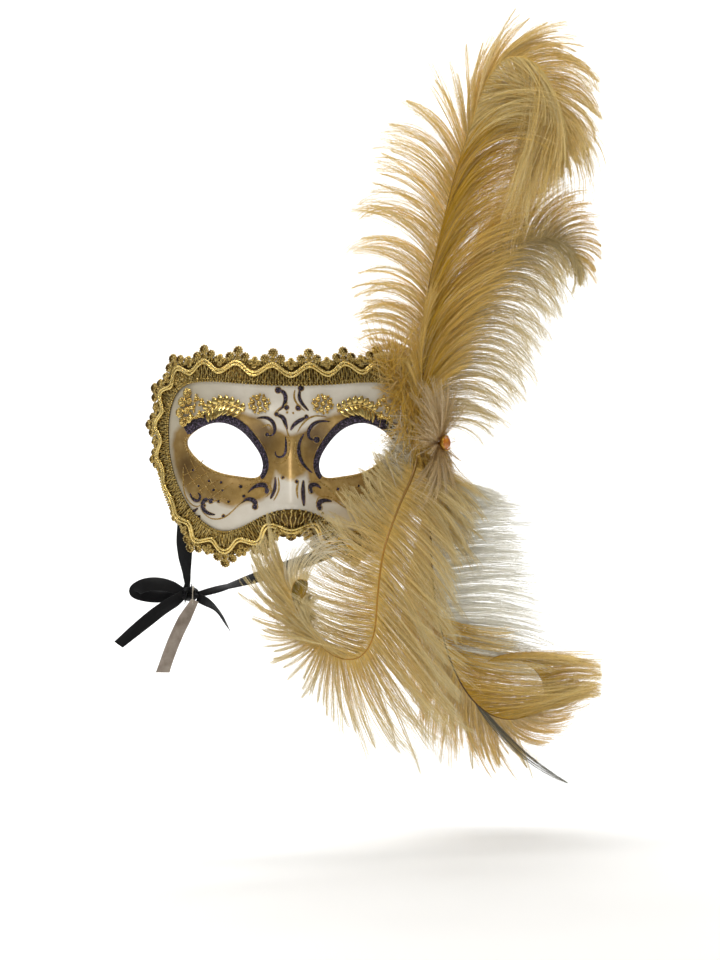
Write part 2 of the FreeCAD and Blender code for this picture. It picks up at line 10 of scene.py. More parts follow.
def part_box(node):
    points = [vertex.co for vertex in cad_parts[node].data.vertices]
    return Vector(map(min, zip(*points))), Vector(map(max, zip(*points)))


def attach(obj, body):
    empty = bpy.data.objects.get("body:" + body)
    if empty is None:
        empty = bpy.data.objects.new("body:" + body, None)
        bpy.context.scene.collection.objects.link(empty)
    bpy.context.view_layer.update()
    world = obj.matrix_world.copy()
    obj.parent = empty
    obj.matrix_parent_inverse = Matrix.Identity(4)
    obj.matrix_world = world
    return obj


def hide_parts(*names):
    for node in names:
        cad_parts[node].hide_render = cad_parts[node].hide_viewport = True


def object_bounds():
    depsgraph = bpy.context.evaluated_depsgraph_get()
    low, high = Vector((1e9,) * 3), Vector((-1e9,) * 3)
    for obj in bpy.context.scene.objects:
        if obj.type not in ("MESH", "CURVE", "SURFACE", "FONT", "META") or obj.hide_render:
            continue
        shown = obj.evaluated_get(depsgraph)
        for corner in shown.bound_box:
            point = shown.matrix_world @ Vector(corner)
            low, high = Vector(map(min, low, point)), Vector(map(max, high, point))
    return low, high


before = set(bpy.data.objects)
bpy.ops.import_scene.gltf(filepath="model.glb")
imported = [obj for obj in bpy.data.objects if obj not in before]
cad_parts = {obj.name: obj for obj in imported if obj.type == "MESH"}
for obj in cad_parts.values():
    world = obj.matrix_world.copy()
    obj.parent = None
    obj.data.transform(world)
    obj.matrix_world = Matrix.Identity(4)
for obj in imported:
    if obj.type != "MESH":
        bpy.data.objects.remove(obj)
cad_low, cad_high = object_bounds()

# The looks of a Venetian half mask with its plumes.  Meshes are worked out in
# millimetres, with the same face formula as the CAD source, and mesh_object
# turns them into metres.  The ribbons' routes and the scene are in metres.
MM = 0.001
SEED = 20


# ------------------------------------------------------------ mesh building
PLAIN = (1.0, 1.0, 1.0)


def unit(vectors):
    """Vectors scaled to length 1."""
    length = np.linalg.norm(vectors, axis=-1, keepdims=True)
    return vectors / np.maximum(length, 1e-9)


class Heap:
    """Collects points in millimetres, faces and point colours for one mesh."""

    def __init__(self):
        self.points = []
        self.faces = []
        self.tints = []
        self.count = 0

    def add(self, points, *faces, tint=PLAIN):
        points = np.asarray(points, float).reshape(-1, 3)
        self.faces += [np.asarray(block, int) + self.count for block in faces]
        self.points.append(points)
        self.tints.append(np.broadcast_to(np.asarray(tint, float), (len(points), 3)))
        self.count += len(points)

    def make(self, name, material, smooth=True):
        return mesh_object(name, np.concatenate(self.points), self.faces, material,
                           smooth, np.concatenate(self.tints))


def mesh_object(name, points, faces, material, smooth=True, tints=None, **values):
    """Object from points in millimetres and blocks of faces of one size each."""
    mesh = bpy.data.meshes.new(name)
    points = np.asarray(points, np.float32) * MM
    corners = np.concatenate([block.ravel() for block in faces]).astype(np.int32)
    sizes = np.concatenate([np.full(len(block), block.shape[1]) for block in faces])
    starts = np.concatenate([[0], np.cumsum(sizes)[:-1]]).astype(np.int32)
    mesh.vertices.add(len(points))
    mesh.vertices.foreach_set("co", points.ravel())
    mesh.loops.add(len(corners))
    mesh.loops.foreach_set("vertex_index", corners)
    mesh.polygons.add(len(sizes))
    mesh.polygons.foreach_set("loop_start", starts)
    mesh.polygons.foreach_set("use_smooth", np.full(len(sizes), smooth))
    mesh.update(calc_edges=True)
    if tints is not None:
        layer = mesh.color_attributes.new("tint", "FLOAT_COLOR", "POINT")
        rgba = np.ones((len(points), 4), np.float32)
        rgba[:, :3] = tints
        layer.data.foreach_set("color", rgba.ravel())
    for key, value in values.items():
        layer = mesh.attributes.new(key, "FLOAT", "POINT")
        layer.data.foreach_set("value", np.asarray(value, np.float32))
    mesh.materials.append(material)
    piece = bpy.data.objects.new(name, mesh)
    bpy.context.scene.collection.objects.link(piece)
    return piece


def grid_faces(rows, columns, wrap=False):
    """Quads of a grid of points, rows by columns, closed across if wrap."""
    across = columns if wrap else columns - 1
    i, j = np.meshgrid(np.arange(rows - 1), np.arange(across), indexing="ij")
    k = (j + 1) % columns
    quads = [i * columns + j, i * columns + k, (i + 1) * columns + k, (i + 1) * columns + j]
    return np.stack(quads, -1).reshape(-1, 4)


def band_faces(rows, columns):
    """Faces of a flat band whose rows of points run over its front and back
    under it, with both ends closed."""
    j = np.arange(columns // 2 - 1)
    start = np.stack([j, columns - 1 - j, columns - 2 - j, j + 1], -1)
    last = start[:, ::-1] + columns * (rows - 1)
    return np.vstack([grid_faces(rows, columns, True), start, last])


def rim_faces(rows, columns):
    """Quads between the borders of two equal grids that follow each other."""
    index = np.arange(rows * columns).reshape(rows, columns)
    border = np.concatenate([index[0, :-1], index[:-1, -1], index[-1, :0:-1], index[:0:-1, 0]])
    following = np.roll(border, -1)
    upper = rows * columns
    return np.stack([border, border + upper, following + upper, following], -1)


def spokes(count):
    """Angles of evenly spaced spokes."""
    return 2 * np.pi * np.arange(count) / count


def once_round(count):
    """Angles once round, the last on top of the first."""
    return np.linspace(0, 2 * np.pi, count)


def circle(centre, first, second, turn):
    """Points round a centre, from the first direction towards the second."""
    turn = np.asarray(turn)[:, None]
    return centre + np.cos(turn) * first + np.sin(turn) * second


def tube(path, radius, sides=8, reference=(0, -1, 0), flatten=1.0):
    """Points and faces of a closed tube along a path of points."""
    path = np.asarray(path, float)
    radius = np.broadcast_to(np.asarray(radius, float), (len(path),))
    along = unit(np.gradient(path, axis=0))
    side = unit(np.cross(along, np.broadcast_to(reference, path.shape)))
    up = np.cross(side, along)
    turn = spokes(sides)
    ring = np.cos(turn)[None, :, None] * side[:, None] + flatten * np.sin(turn)[None, :, None] * up[:, None]
    points = (path[:, None] + radius[:, None, None] * ring).reshape(-1, 3)
    count = len(points)
    points = np.vstack([points, path[0], path[-1]])
    j = np.arange(sides)
    k = (j + 1) % sides
    first = np.stack([k, j, np.full(sides, count)], -1)
    last = np.stack([count - sides + j, count - sides + k, np.full(sides, count + 1)], -1)
    return points, grid_faces(len(path), sides, True), np.vstack([first, last])


def ball_mesh(detail):
    """Points and triangles of a unit ball."""
    form = bmesh.new()
    bmesh.ops.create_icosphere(form, subdivisions=detail, radius=1.0)
    points = np.array([v.co for v in form.verts])
    faces = np.array([[v.index for v in f.verts] for f in form.faces])
    form.free()
    return points, faces


BALL_FINE = ball_mesh(3)
BALL_ROUGH = ball_mesh(1)


def add_ball(heap, centre, radius, shape=BALL_FINE, stretch=(1, 1, 1), tint=PLAIN):
    points, faces = shape
    heap.add(centre + points * radius * np.asarray(stretch, float), faces, tint=tint)


# ------------------------------------------------------------------- curves
def spline(points, closed=False, count=1200):
    """Dense points of the C2 cubic curve through the points."""
    knots = np.asarray(points, float)
    if closed:
        knots = np.vstack([knots, knots[:1]])
    chord = np.linalg.norm(np.diff(knots, axis=0), axis=1)
    at_knots = np.concatenate([[0], np.cumsum(chord)])
    size = len(knots)
    system = np.zeros((size, size))
    right = np.zeros(knots.shape)
    slope = np.diff(knots, axis=0) / chord[:, None]
    for i in range(1, size - 1):
        system[i, i - 1:i + 2] = chord[i - 1], 2 * (chord[i - 1] + chord[i]), chord[i]
        right[i] = 6 * (slope[i] - slope[i - 1])
    if closed:
        system[0, [0, -1]] = 1, -1
        system[-1, [0, 1, -2, -1]] = 2 * chord[0], chord[0], chord[-1], 2 * chord[-1]
        right[-1] = 6 * (slope[0] - slope[-1])
    else:
        system[0, 0] = system[-1, -1] = 1
    bend = np.linalg.solve(system, right)
    at = np.linspace(0, at_knots[-1], count)
    i = np.clip(np.searchsorted(at_knots, at, side="right") - 1, 0, size - 2)
    span = chord[i][:, None]
    b = (at - at_knots[i])[:, None] / span
    a = 1 - b
    curved = ((a ** 3 - a) * bend[i] + (b ** 3 - b) * bend[i + 1]) * span * span / 6
    return a * knots[i] + b * knots[i + 1] + curved


class Curve:
    """A curve read by the share of its length, from 0 to 1."""

    def __init__(self, points, closed=False):
        self.points = spline(points, closed)
        self.closed = closed
        step = np.linalg.norm(np.diff(self.points, axis=0), axis=1)
        self.at = np.concatenate([[0], np.cumsum(step)])
        self.length = self.at[-1]

    def place(self, share):
        share = np.asarray(share, float)
        share = share % 1.0 if self.closed else np.clip(share, 0, 1)
        columns = [np.interp(share * self.length, self.at, c) for c in self.points.T]
        return np.stack(columns, -1)

    def heading(self, share, step=0.002):
        share = np.asarray(share, float)
        before, after = share - step, share + step
        if not self.closed:
            before, after = np.clip(before, 0, 1), np.clip(after, 0, 1)
        return unit(self.place(after) - self.place(before))


# ------------------------------------------------------------- face surface
FACE_W, FACE_D, UNROLL = 106.0, 80.0, 96.0
SHELL = 2.2
BROW, SOCKET, CHEEK, NOSE, NOSE_DROP = 3.5, 7.0, 5.0, 26.0, 38.0
NOSE_ROOT_Z, NOSE_UNDERSIDE = 20.0, 36.0
GLUE = 0.25


def bump(x, width):
    return np.exp(-((x / width) ** 2))


def face_relief(x, z):
    """Depth added to the base curve: brow, sockets, cheeks and nose."""
    y = 0.0022 * np.maximum(z - 10.0, 0.0) ** 2
    y = y + 0.0035 * np.maximum(-20.0 - z, 0.0) ** 2
    y = y - BROW * bump(z - 17.0, 9.0) * np.exp(-((x / 62.0) ** 4))
    y = y + SOCKET * bump(np.abs(x) - 42.0, 22.0) * bump(z + 1.0, 15.0)
    y = y - CHEEK * bump(np.abs(x) - 46.0, 24.0) * bump(z + 36.0, 16.0)
    fall = np.clip((NOSE_ROOT_Z - z) / (NOSE_ROOT_Z + NOSE_DROP), 0.0, 1.0)
    below = np.clip((-NOSE_DROP - z) / NOSE_UNDERSIDE, 0.0, 1.0)
    rise = NOSE * fall ** 1.4 * (0.5 + 0.5 * np.cos(np.pi * below))
    return y - rise * bump(x, 8.0 + 7.0 * fall)


def on_face(s, z):
    """Point of the shell's front, s round the face and z up."""
    s, z = np.broadcast_arrays(np.asarray(s, float), np.asarray(z, float))
    x = FACE_W * np.sin(s / UNROLL)
    y = FACE_D * (1.0 - np.cos(s / UNROLL)) + face_relief(x, z)
    return np.stack([x, y, z], -1)


def face_normal(s, z, step=0.5):
    """Unit normal of the front, away from the wearer."""
    across = on_face(s + step, z) - on_face(s - step, z)
    upward = on_face(s, z + step) - on_face(s, z - step)
    return unit(np.cross(across, upward))


def off_face(s, z, height):
    """Point that stands a height off the front."""
    s, z = np.asarray(s, float), np.asarray(z, float)
    return on_face(s, z) + face_normal(s, z) * np.asarray(height, float)[..., None]


def face_frame(s, z, upright=(0.0, 0.0, 1.0)):
    """The front's normal, and two directions square to it and to each other."""
    normal = face_normal(s, z)
    side = unit(np.cross(normal, upright))
    return normal, side, np.cross(side, normal)


def unrolled(x):
    return UNROLL * np.arcsin(np.asarray(x, float) / FACE_W)


HALF_OUTLINE = [
    (0, 51.5), (28, 53), (55, 55), (78, 50), (92, 34), (97, 8),
    (93, -17), (81, -41), (65, -59), (45, -69), (24, -65), (0, -54),
]
EYE_OUTLINE = [
    (18.5, -15), (24, 0), (35, 11), (48, 15), (61, 11), (69.5, 3),
    (62, -9), (47, -18), (31, -21), (20.5, -20),
]


def mirrored(points):
    return [(-a, b) for a, b in points]


OUTLINE = Curve(HALF_OUTLINE + mirrored(HALF_OUTLINE[-2:0:-1]), closed=True)
EYES = {1: Curve(EYE_OUTLINE, closed=True), -1: Curve(mirrored(EYE_OUTLINE), closed=True)}


# ---------------------------------------------------------------- materials
def colour(red, green, blue):
    """Linear colour from display values of 0 to 255."""
    shares = np.array([red, green, blue]) / 255.0
    low = shares / 12.92
    high = ((shares + 0.055) / 1.055) ** 2.4
    return tuple(np.where(shares <= 0.04045, low, high)) + (1.0,)


class Finish:
    """A material with one Principled shader and the nodes that feed it."""

    def __init__(self, name, **settings):
        self.material = bpy.data.materials.new(name)
        self.material.use_nodes = True
        self.nodes = self.material.node_tree.nodes
        self.links = self.material.node_tree.links
        self.shader = self.nodes["Principled BSDF"]
        self.coords = self.nodes.new("ShaderNodeTexCoord").outputs["Object"]
        for word, value in settings.items():
            self.shader.inputs[word.replace("_", " ")].default_value = value

    def feed(self, node, **inputs):
        """Sets a node's inputs to numbers or to other nodes' outputs."""
        for word, value in inputs.items():
            self.put(node.inputs[word.replace("_", " ")], value)
        return node

    def put(self, socket, value):
        if isinstance(value, bpy.types.NodeSocket):
            self.links.new(value, socket)
        else:
            socket.default_value = value

    def node(self, kind, *values, **options):
        """A new node with options set, and values put on its first sockets."""
        node = self.nodes.new("ShaderNode" + kind)
        for word, value in options.items():
            setattr(node, word, value)
        for socket, value in zip(node.inputs, values):
            if value is not None:
                self.put(socket, value)
        return node

    def noise(self, scale, detail=4.0, roughness=0.6, stretch=None):
        where = self.coords
        if stretch is not None:
            where = self.feed(self.node("Mapping", where), Scale=stretch).outputs["Vector"]
        node = self.feed(self.node("TexNoise", where), Scale=scale, Detail=detail, Roughness=roughness)
        return node.outputs["Fac"]

    def cells(self, scale):
        return self.feed(self.node("TexVoronoi", self.coords), Scale=scale)

    def waves(self, scale, direction="X", distortion=0.0):
        node = self.node("TexWave", self.coords, bands_direction=direction)
        return self.feed(node, Scale=scale, Distortion=distortion).outputs["Fac"]

    def ramp(self, value, *stops):
        node = self.node("ValToRGB", value)
        marks = node.color_ramp.elements
        while len(marks) < len(stops):
            marks.new(0.5)
        for mark, (position, shade) in zip(marks, stops):
            mark.position = position
            mark.color = shade
        return node.outputs["Color"]

    def span(self, value, low, high, start=0.0, end=1.0):
        return self.node("MapRange", value, low, high, start, end).outputs["Result"]

    def math(self, operation, a, b):
        return self.node("Math", a, b, operation=operation).outputs[0]

    def mix(self, share, first, second, blend="MIX"):
        node = self.node("Mix", share, data_type="RGBA", blend_type=blend)
        self.put(node.inputs[6], first)
        self.put(node.inputs[7], second)
        return node.outputs[2]

    def attribute(self, name, output="Fac"):
        return self.node("Attribute", attribute_name=name).outputs[output]

    def bump(self, height, distance, strength):
        node = self.feed(self.node("Bump"), Height=height, Distance=distance, Strength=strength)
        self.drive("Normal", node.outputs["Normal"])

    def drive(self, word, value):
        self.put(self.shader.inputs[word], value)


def papier_mache():
    """Pearly white lacquer, gilded where the gilding attribute says."""
    paint = Finish("papier_mache", Coat_Weight=0.2, Coat_Roughness=0.3)
    blotches = paint.noise(60.0, 5.0)
    ragged = paint.span(paint.noise(160.0), 0, 1, -1.4, 1.4)
    ragged = paint.math("ADD", paint.attribute("gilding"), ragged)
    gilt = paint.span(ragged, -1.6, 1.8)
    white = paint.ramp(blotches, (0.3, colour(222, 213, 196)), (0.62, colour(234, 227, 213)))
    # Painted shade: the white turns darker and warmer towards the temples.
    white = paint.mix(paint.attribute("yellowing"), white, colour(172, 160, 128))
    gold = paint.ramp(paint.noise(170.0, 6.0), (0.3, colour(170, 134, 72)), (0.5, colour(188, 152, 84)),
                      (0.72, colour(212, 178, 110)))
    # Painted shade: the gilt turns dark brown on the cheeks and in the eye sockets' corners.
    shaded = paint.mix(paint.attribute("ageing"), gold, colour(80, 55, 18))
    paint.drive("Base Color", paint.mix(gilt, white, shaded))
    paint.drive("Metallic", paint.math("MULTIPLY", gilt, 0.3))
    paint.drive("Roughness", paint.span(paint.noise(900.0, 3.0), 0.3, 0.7, 0.32, 0.48))
    grain = paint.math("MULTIPLY", paint.noise(1500.0, 2.0), 0.25)
    paint.bump(paint.math("ADD", paint.noise(140.0, 6.0), grain), 0.0005, 0.35)
    return paint.material


def metal_thread(name, dark, middle, bright, grain, roughness):
    """Gold metal thread: fine twisted strands, with painted shade in the hollows."""
    thread = Finish(name, Metallic=0.95)
    tone = thread.mix(0.75, dark, middle)
    speck = thread.cells(grain)
    sparkle = thread.ramp(speck.outputs["Color"], (0.0, dark), (0.35, middle), (0.85, bright))
    strand = thread.mix(thread.span(speck.outputs["Distance"], 0.0, 0.7, 0.15, 0.6), tone, sparkle)
    # The tint attribute multiplies in each rib's random tone and the painted shade in the braid's gaps.
    thread.drive("Base Color", thread.mix(1.0, strand, thread.attribute("tint", "Color"), "MULTIPLY"))
    wear = thread.noise(700.0, 2.0)
    thread.drive("Roughness", thread.span(wear, 0.3, 0.7, roughness - 0.1, roughness + 0.12))
    strands = thread.math("ADD", thread.waves(900.0, "DIAGONAL", 1.5), speck.outputs["Distance"])
    thread.bump(strands, 0.0002, 0.35)
    return thread.material


def cast_gold(name, bright, deep, roughness):
    """Polished gilt metal with worn, darker patches."""
    gold = Finish(name, Metallic=1.0)
    wear = gold.noise(380.0, 5.0)
    gold.drive("Base Color", gold.ramp(wear, (0.32, deep), (0.6, bright)))
    gold.drive("Roughness", gold.span(wear, 0.3, 0.7, roughness + 0.14, roughness))
    gold.bump(gold.noise(2200.0, 3.0), 0.0001, 0.4)
    return gold.material


def glitter(name, ground, flake, spark, grain):
    """Glitter glue: a dark or gold ground full of flakes that face all ways."""
    glue = Finish(name, Coat_Weight=0.08, Coat_Roughness=0.25, Specular_IOR_Level=0.35)
    flakes = glue.cells(grain)
    pick = glue.math("GREATER_THAN", glue.noise(grain * 1.7, 1.0), 0.56)
    shade = glue.ramp(flakes.outputs["Color"], (0.15, ground), (0.5, flake), (0.92, spark))
    glue.drive("Base Color", glue.mix(pick, shade, ground))
    glue.drive("Metallic", glue.span(flakes.outputs["Color"], 0.45, 0.8, 0.1, 0.9))
    glue.drive("Roughness", glue.span(flakes.outputs["Distance"], 0.0, 0.6, 0.3, 0.6))
    glue.bump(glue.math("ADD", flakes.outputs["Color"], flakes.outputs["Distance"]), 0.0004, 0.9)
    return glue.material


def plumage(name, sheen):
    """Dyed barbs, with the colour that each barb carries and a fine mottle."""
    barb = Finish(name, Roughness=0.6, Sheen_Weight=sheen, Sheen_Roughness=0.4, Specular_IOR_Level=0.3)
    mottle = barb.span(barb.noise(260.0, 3.0), 0.25, 0.75, 0.9, 1.08)
    barb.drive("Base Color", barb.mix(1.0, barb.attribute("tint", "Color"), mottle, "MULTIPLY"))
    return barb.material


def horn():
    """Plume shaft: smooth horn, streaked along its length."""
    shaft = Finish("quill", Roughness=0.38, Coat_Weight=0.2, Coat_Roughness=0.2)
    streak = shaft.noise(900.0, 4.0, 0.6, (1.0, 1.0, 0.12))
    shaft.drive("Base Color", shaft.mix(1.0, shaft.attribute("tint", "Color"),
                                        shaft.span(streak, 0.3, 0.7, 0.78, 1.12), "MULTIPLY"))
    shaft.bump(streak, 0.0002, 0.3)
    return shaft.material


def satin():
    """Black satin: fine warp lines, soft folds of sheen."""
    cloth = Finish("black_satin", Sheen_Weight=0.02, Sheen_Roughness=0.3, Specular_IOR_Level=0.18)
    warp = cloth.waves(2600.0, "DIAGONAL", 0.4)
    weft = cloth.waves(1900.0, "Z", 0.4)
    weave = cloth.math("MULTIPLY", warp, weft)
    cloth.drive("Base Color", cloth.ramp(cloth.math("ADD", weave, cloth.noise(300.0)),
                                         (0.3, colour(3, 3, 4)), (0.9, colour(15, 15, 18))))
    cloth.drive("Roughness", cloth.span(weave, 0.0, 1.0, 0.38, 0.52))
    cloth.bump(weave, 0.00008, 0.6)
    return cloth.material


def woven_label():
    """Blank woven label, beige, a little soiled."""
    label = Finish("tag_satin", Sheen_Weight=0.15)
    weave = label.math("MULTIPLY", label.waves(1300.0, "X"), label.waves(1500.0, "Z"))
    soil = label.noise(120.0, 5.0)
    tone = label.ramp(soil, (0.3, colour(122, 108, 96)), (0.7, colour(176, 164, 152)))
    label.drive("Base Color", label.mix(label.math("MULTIPLY", weave, 0.25), tone, colour(142, 124, 110)))
    label.drive("Roughness", label.span(soil, 0.3, 0.7, 0.5, 0.7))
    label.bump(weave, 0.0001, 0.5)
    return label.material


def felt(name, dark, light):
    """Matted fibres."""
    wool = Finish(name, Roughness=0.95, Sheen_Weight=0.3)
    fibre = wool.noise(1100.0, 8.0, 0.75)
    wool.drive("Base Color", wool.ramp(fibre, (0.3, dark), (0.7, light)))
    wool.bump(fibre, 0.0006, 0.8)
    return wool.material


def amber():
    """Faceted amber glass."""
    stone = Finish("amber_glass", Roughness=0.04, IOR=1.54, Transmission_Weight=0.55, Coat_Weight=0.6)
    stone.drive("Base Color", stone.ramp(stone.noise(260.0, 3.0), (0.3, colour(226, 92, 4)),
                                         (0.7, colour(255, 176, 40))))
    return stone.material


def thread():
    """Twisted cotton loop."""
    cotton = Finish("tag_thread", Roughness=0.7, Sheen_Weight=0.3)
    twist = cotton.waves(1600.0, "DIAGONAL", 0.6)
    cotton.drive("Base Color", cotton.ramp(twist, (0.2, colour(150, 138, 120)),
                                           (0.8, colour(224, 214, 198))))
    cotton.bump(twist, 0.0001, 0.8)
    return cotton.material


OLD_GOLD = (colour(70, 50, 14), colour(204, 170, 88), colour(255, 242, 182))
MATERIALS = {
    "papier_mache": papier_mache(),
    "gold_braid": metal_thread("gold_braid", *OLD_GOLD, 1500.0, 0.3),
    "gold_cord": metal_thread("gold_cord", colour(164, 130, 54), colour(240, 208, 118), colour(255, 244, 190),
                              1900.0, 0.22),
    "gold_trim": cast_gold("gold_trim", colour(250, 224, 142), colour(168, 128, 56), 0.17),
    "gold_metal": cast_gold("gold_metal", colour(232, 186, 84), colour(150, 104, 34), 0.24),
    "binding_wire": cast_gold("binding_wire", colour(214, 176, 96), colour(136, 98, 38), 0.3),
    "black_glitter": glitter("black_glitter", colour(5, 4, 7), colour(18, 12, 23), colour(160, 142, 172),
                             2000.0),
    "gold_glitter": glitter("gold_glitter", colour(140, 100, 34), colour(206, 164, 74), colour(255, 238, 180),
                            2600.0),
    "plume_barbs": plumage("plume_barbs", 0.08),
    "hackle": plumage("hackle", 0.15),
    "gold_down": plumage("gold_down", 0.08),
    "quill": horn(),
    "black_satin": satin(),
    "tag_satin": woven_label(),
    "felt": felt("felt", colour(120, 96, 58), colour(176, 150, 104)),
    "amber_glass": amber(),
    "tag_thread": thread(),
}


def fit(piece, body, slot, *nodes):
    """The piece rides on a body and stands for CAD nodes; the slot is not used."""
    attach(piece, body)
    if nodes:
        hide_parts(*nodes)
    return piece


def finished(heap, name, slot, *nodes, material=None, body="mask", smooth=True):
    """The heap's piece, fitted.  Its material is the slot's unless one is named."""
    return fit(heap.make(name, MATERIALS[material or slot], smooth), body, slot, *nodes)


# -------------------------------------------------------------------- cords
SATIN_THICKNESS = 0.45
RIGHT_TIE = [
    (-0.070, 0.0275, -0.051), (-0.0715, 0.030, -0.062), (-0.0715, 0.033, -0.075),
    (-0.0705, 0.0355, -0.087), (-0.0695, 0.0368, -0.0965),
]
LEFT_TIE = [
    (-0.0625, 0.037, -0.101), (-0.049, 0.0385, -0.0975), (-0.032, 0.041, -0.0925), (-0.011, 0.044, -0.086),
    (0.011, 0.0455, -0.079), (0.032, 0.045, -0.071), (0.050, 0.042, -0.062), (0.064, 0.037, -0.0525),
    (0.072, 0.032, -0.043),
]
TAIL_LONG = [
    (-0.075, 0.033, -0.1035), (-0.086, 0.0315, -0.110), (-0.098, 0.0305, -0.119), (-0.109, 0.0305, -0.128),
    (-0.116, 0.031, -0.134),
]
TAIL_SHORT = [
    (-0.063, 0.036, -0.103), (-0.056, 0.035, -0.106), (-0.0495, 0.0345, -0.111), (-0.045, 0.0345, -0.1175),
    (-0.042, 0.0345, -0.124),
]


def route_points(name, route):
    """Points of the smooth NURBS line along a route, in metres."""
    curve = bpy.data.curves.new(name, "CURVE")
    curve.dimensions = "3D"
    curve.resolution_u = 24
    line = curve.splines.new("NURBS")
    line.points.add(len(route) - 1)
    for point, place in zip(line.points, route):
        point.co = (*place, 1.0)
    line.order_u = 3
    line.use_endpoint_u = True
    holder = bpy.data.objects.new(name, curve)
    mesh = bpy.data.meshes.new_from_object(holder)
    points = np.array([v.co for v in mesh.vertices])
    bpy.data.objects.remove(holder)
    return points


def ribbon_strip(path, width, twist, facing=(0, -1, 0), cup=0.06, end_cut=0.0):
    """Thin satin strip along a path in millimetres: width and twist (in
    degrees) are given at even steps, and its edges cup away from its face."""
    share = np.linspace(0, 1, len(path))
    width = np.interp(share, np.linspace(0, 1, len(width)), width)
    turn = np.radians(np.interp(share, np.linspace(0, 1, len(twist)), twist))
    along = unit(np.gradient(path, axis=0))
    side = unit(np.cross(along, np.broadcast_to(facing, path.shape)))
    out = np.cross(side, along)
    across = np.cos(turn)[:, None] * side + np.sin(turn)[:, None] * out
    front = np.cross(across, along)
    place = np.array([-1, -0.94, -0.7, -0.35, 0, 0.35, 0.7, 0.94, 1])
    crease = 0.22 * np.sin(7.0 * np.pi * share)[:, None] * place * (1 - place ** 2)
    lift = -cup * width[:, None] * place ** 2 + crease
    half = width[:, None] / 2 * place
    lead = np.clip(share * 8 - 7, 0, 1)[:, None] * end_cut * place
    centre = path[:, None] + half[..., None] * across[:, None] + lead[..., None] * along[:, None]
    edge = np.where(np.abs(place) > 0.97, 0.25, 1.0) * SATIN_THICKNESS / 2
    top = centre + (lift + edge)[..., None] * front[:, None]
    under = centre + (lift - edge)[..., None] * front[:, None]
    ring = np.concatenate([top, under[:, ::-1]], axis=1)
    return ring.reshape(-1, 3), band_faces(len(path), 2 * len(place))


def ribbon_piece(nodes, route, width, twist, **shape):
    """A ribbon mesh along its route, and the route's points in metres."""
    points = route_points(nodes[0] + "_route", route)
    heap = Heap()
    heap.add(*ribbon_strip(points / MM, width, twist, **shape))
    return finished(heap, nodes[0] + "_satin", "black_satin", *nodes), points


def bow_loop():
    """A ribbon that leaves the knot, turns at its far end and comes back."""
    path = spline([(-72, 35.5, -99.5), (-82, 34.6, -95), (-94, 34.6, -93.5), (-102.5, 35.5, -96),
                   (-105, 37.5, -98.5), (-101, 39.6, -101), (-90, 40, -102.5), (-80, 39.2, -102),
                   (-72, 38, -101)], count=120)
    heap = Heap()
    heap.add(*ribbon_strip(path, [5, 8, 9.4, 9.6, 9, 8.6, 8.6, 7, 4.5], [8, -4, -12, -8, 0, 8, 12, 6, 0],
                           facing=(0, -1, 0.15), cup=0.05))
    return finished(heap, "bow_loop_satin", "black_satin", "bow_loop")


KNOT = np.array([-68.4, 37.0, -100.6])
KNOT_RADII = np.array([6.6, 5.6, 5.0])


def bow_knot():
    """The knot: a pinched ball of satin with folds that wrap round it."""
    points, faces = ball_mesh(5)
    turn = np.arctan2(points[:, 1], points[:, 0])
    height = points[:, 2]
    folds = np.sin(6 * turn + 2.5 * height) * 0.05 + np.sin(11 * turn - 4 * height) * 0.025
    pinch = 1 - 0.16 * bump(height - 0.15, 0.2) + 0.06 * bump(height + 0.35, 0.25)
    radius = pinch + folds * (1 - height ** 2)
    heap = Heap()
    heap.add(KNOT + points * radius[:, None] * KNOT_RADII, faces)
    turn = once_round(90)
    for aside, tilt in ((-1.6, 1.6), (2.4, -1.2)):
        wrap = KNOT + circle((aside, 0, 0), (0, 5.7, 0), (tilt, 0, 5.1), turn)
        heap.add(*ribbon_strip(wrap, [3.4, 4.6, 3.4], [0, 20, 0], facing=(1, 0, 0), cup=0.1))
    return finished(heap, "bow_knot_satin", "black_satin", "bow_knot")


def tag_thread():
    """Two-strand cotton loop that holds the tag."""
    low, high = (np.array(v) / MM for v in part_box("tag_thread"))
    across = high - low
    level = 1 if across[1] > across[0] else 0
    reach = (max(across[level], across[2]) - 0.8) / 2
    turn = once_round(121)
    ring = circle((low + high) / 2, np.eye(3)[level] * reach, np.eye(3)[2] * reach, turn)
    heap = Heap()
    for phase in (0, math.pi):
        strand = ring + 0.16 * np.cos(18 * turn + phase)[:, None]
        heap.add(*tube(strand, 0.24, 6, (1, 0.3, 0.2)))
    return finished(heap, "tag_thread_cotton", "tag_thread", "tag_thread")


TAG_PIVOT = (-65.5, 27.5, -107.0)
TAG_TILT = math.radians(24.0)


def hang_tag():
    """Blank woven label with a slanted end, a folded top and a slight curl."""
    rows, columns = 70, 11
    drop = np.linspace(3.0, -50.0, rows)[:, None]
    place = np.linspace(-1, 1, columns)[None]
    half = 4.25 * (0.62 + 0.38 * np.clip((3.0 - drop) / 14.0, 0, 1))
    slant = np.clip((-drop - 44.0) / 6.0, 0, 1) * 2.0 * place
    x = half * place - 1.7 * np.sin(np.pi * (3.0 - drop) / 53.0)
    z = drop + slant * 0.9
    curl = 0.25 * np.sin(drop * 0.16) + 0.12 * place ** 2
    hem = 0.14 * (np.abs(place) > 0.75) + 0.16 * (drop > 0.4)
    front, back = (np.stack(np.broadcast_arrays(x, curl + face * (0.22 + hem), z), -1)
                   for face in (-1, 1))
    ring = np.concatenate([front, back[:, ::-1]], axis=1)
    cosine, sine = math.cos(TAG_TILT), math.sin(TAG_TILT)
    tilt = np.array([[cosine, 0, -sine], [0, 1, 0], [sine, 0, cosine]])
    heap = Heap()
    heap.add(ring @ tilt + TAG_PIVOT, band_faces(rows, 2 * columns))
    return finished(heap, "hang_tag_label", "tag_satin", "hang_tag", body="tag")


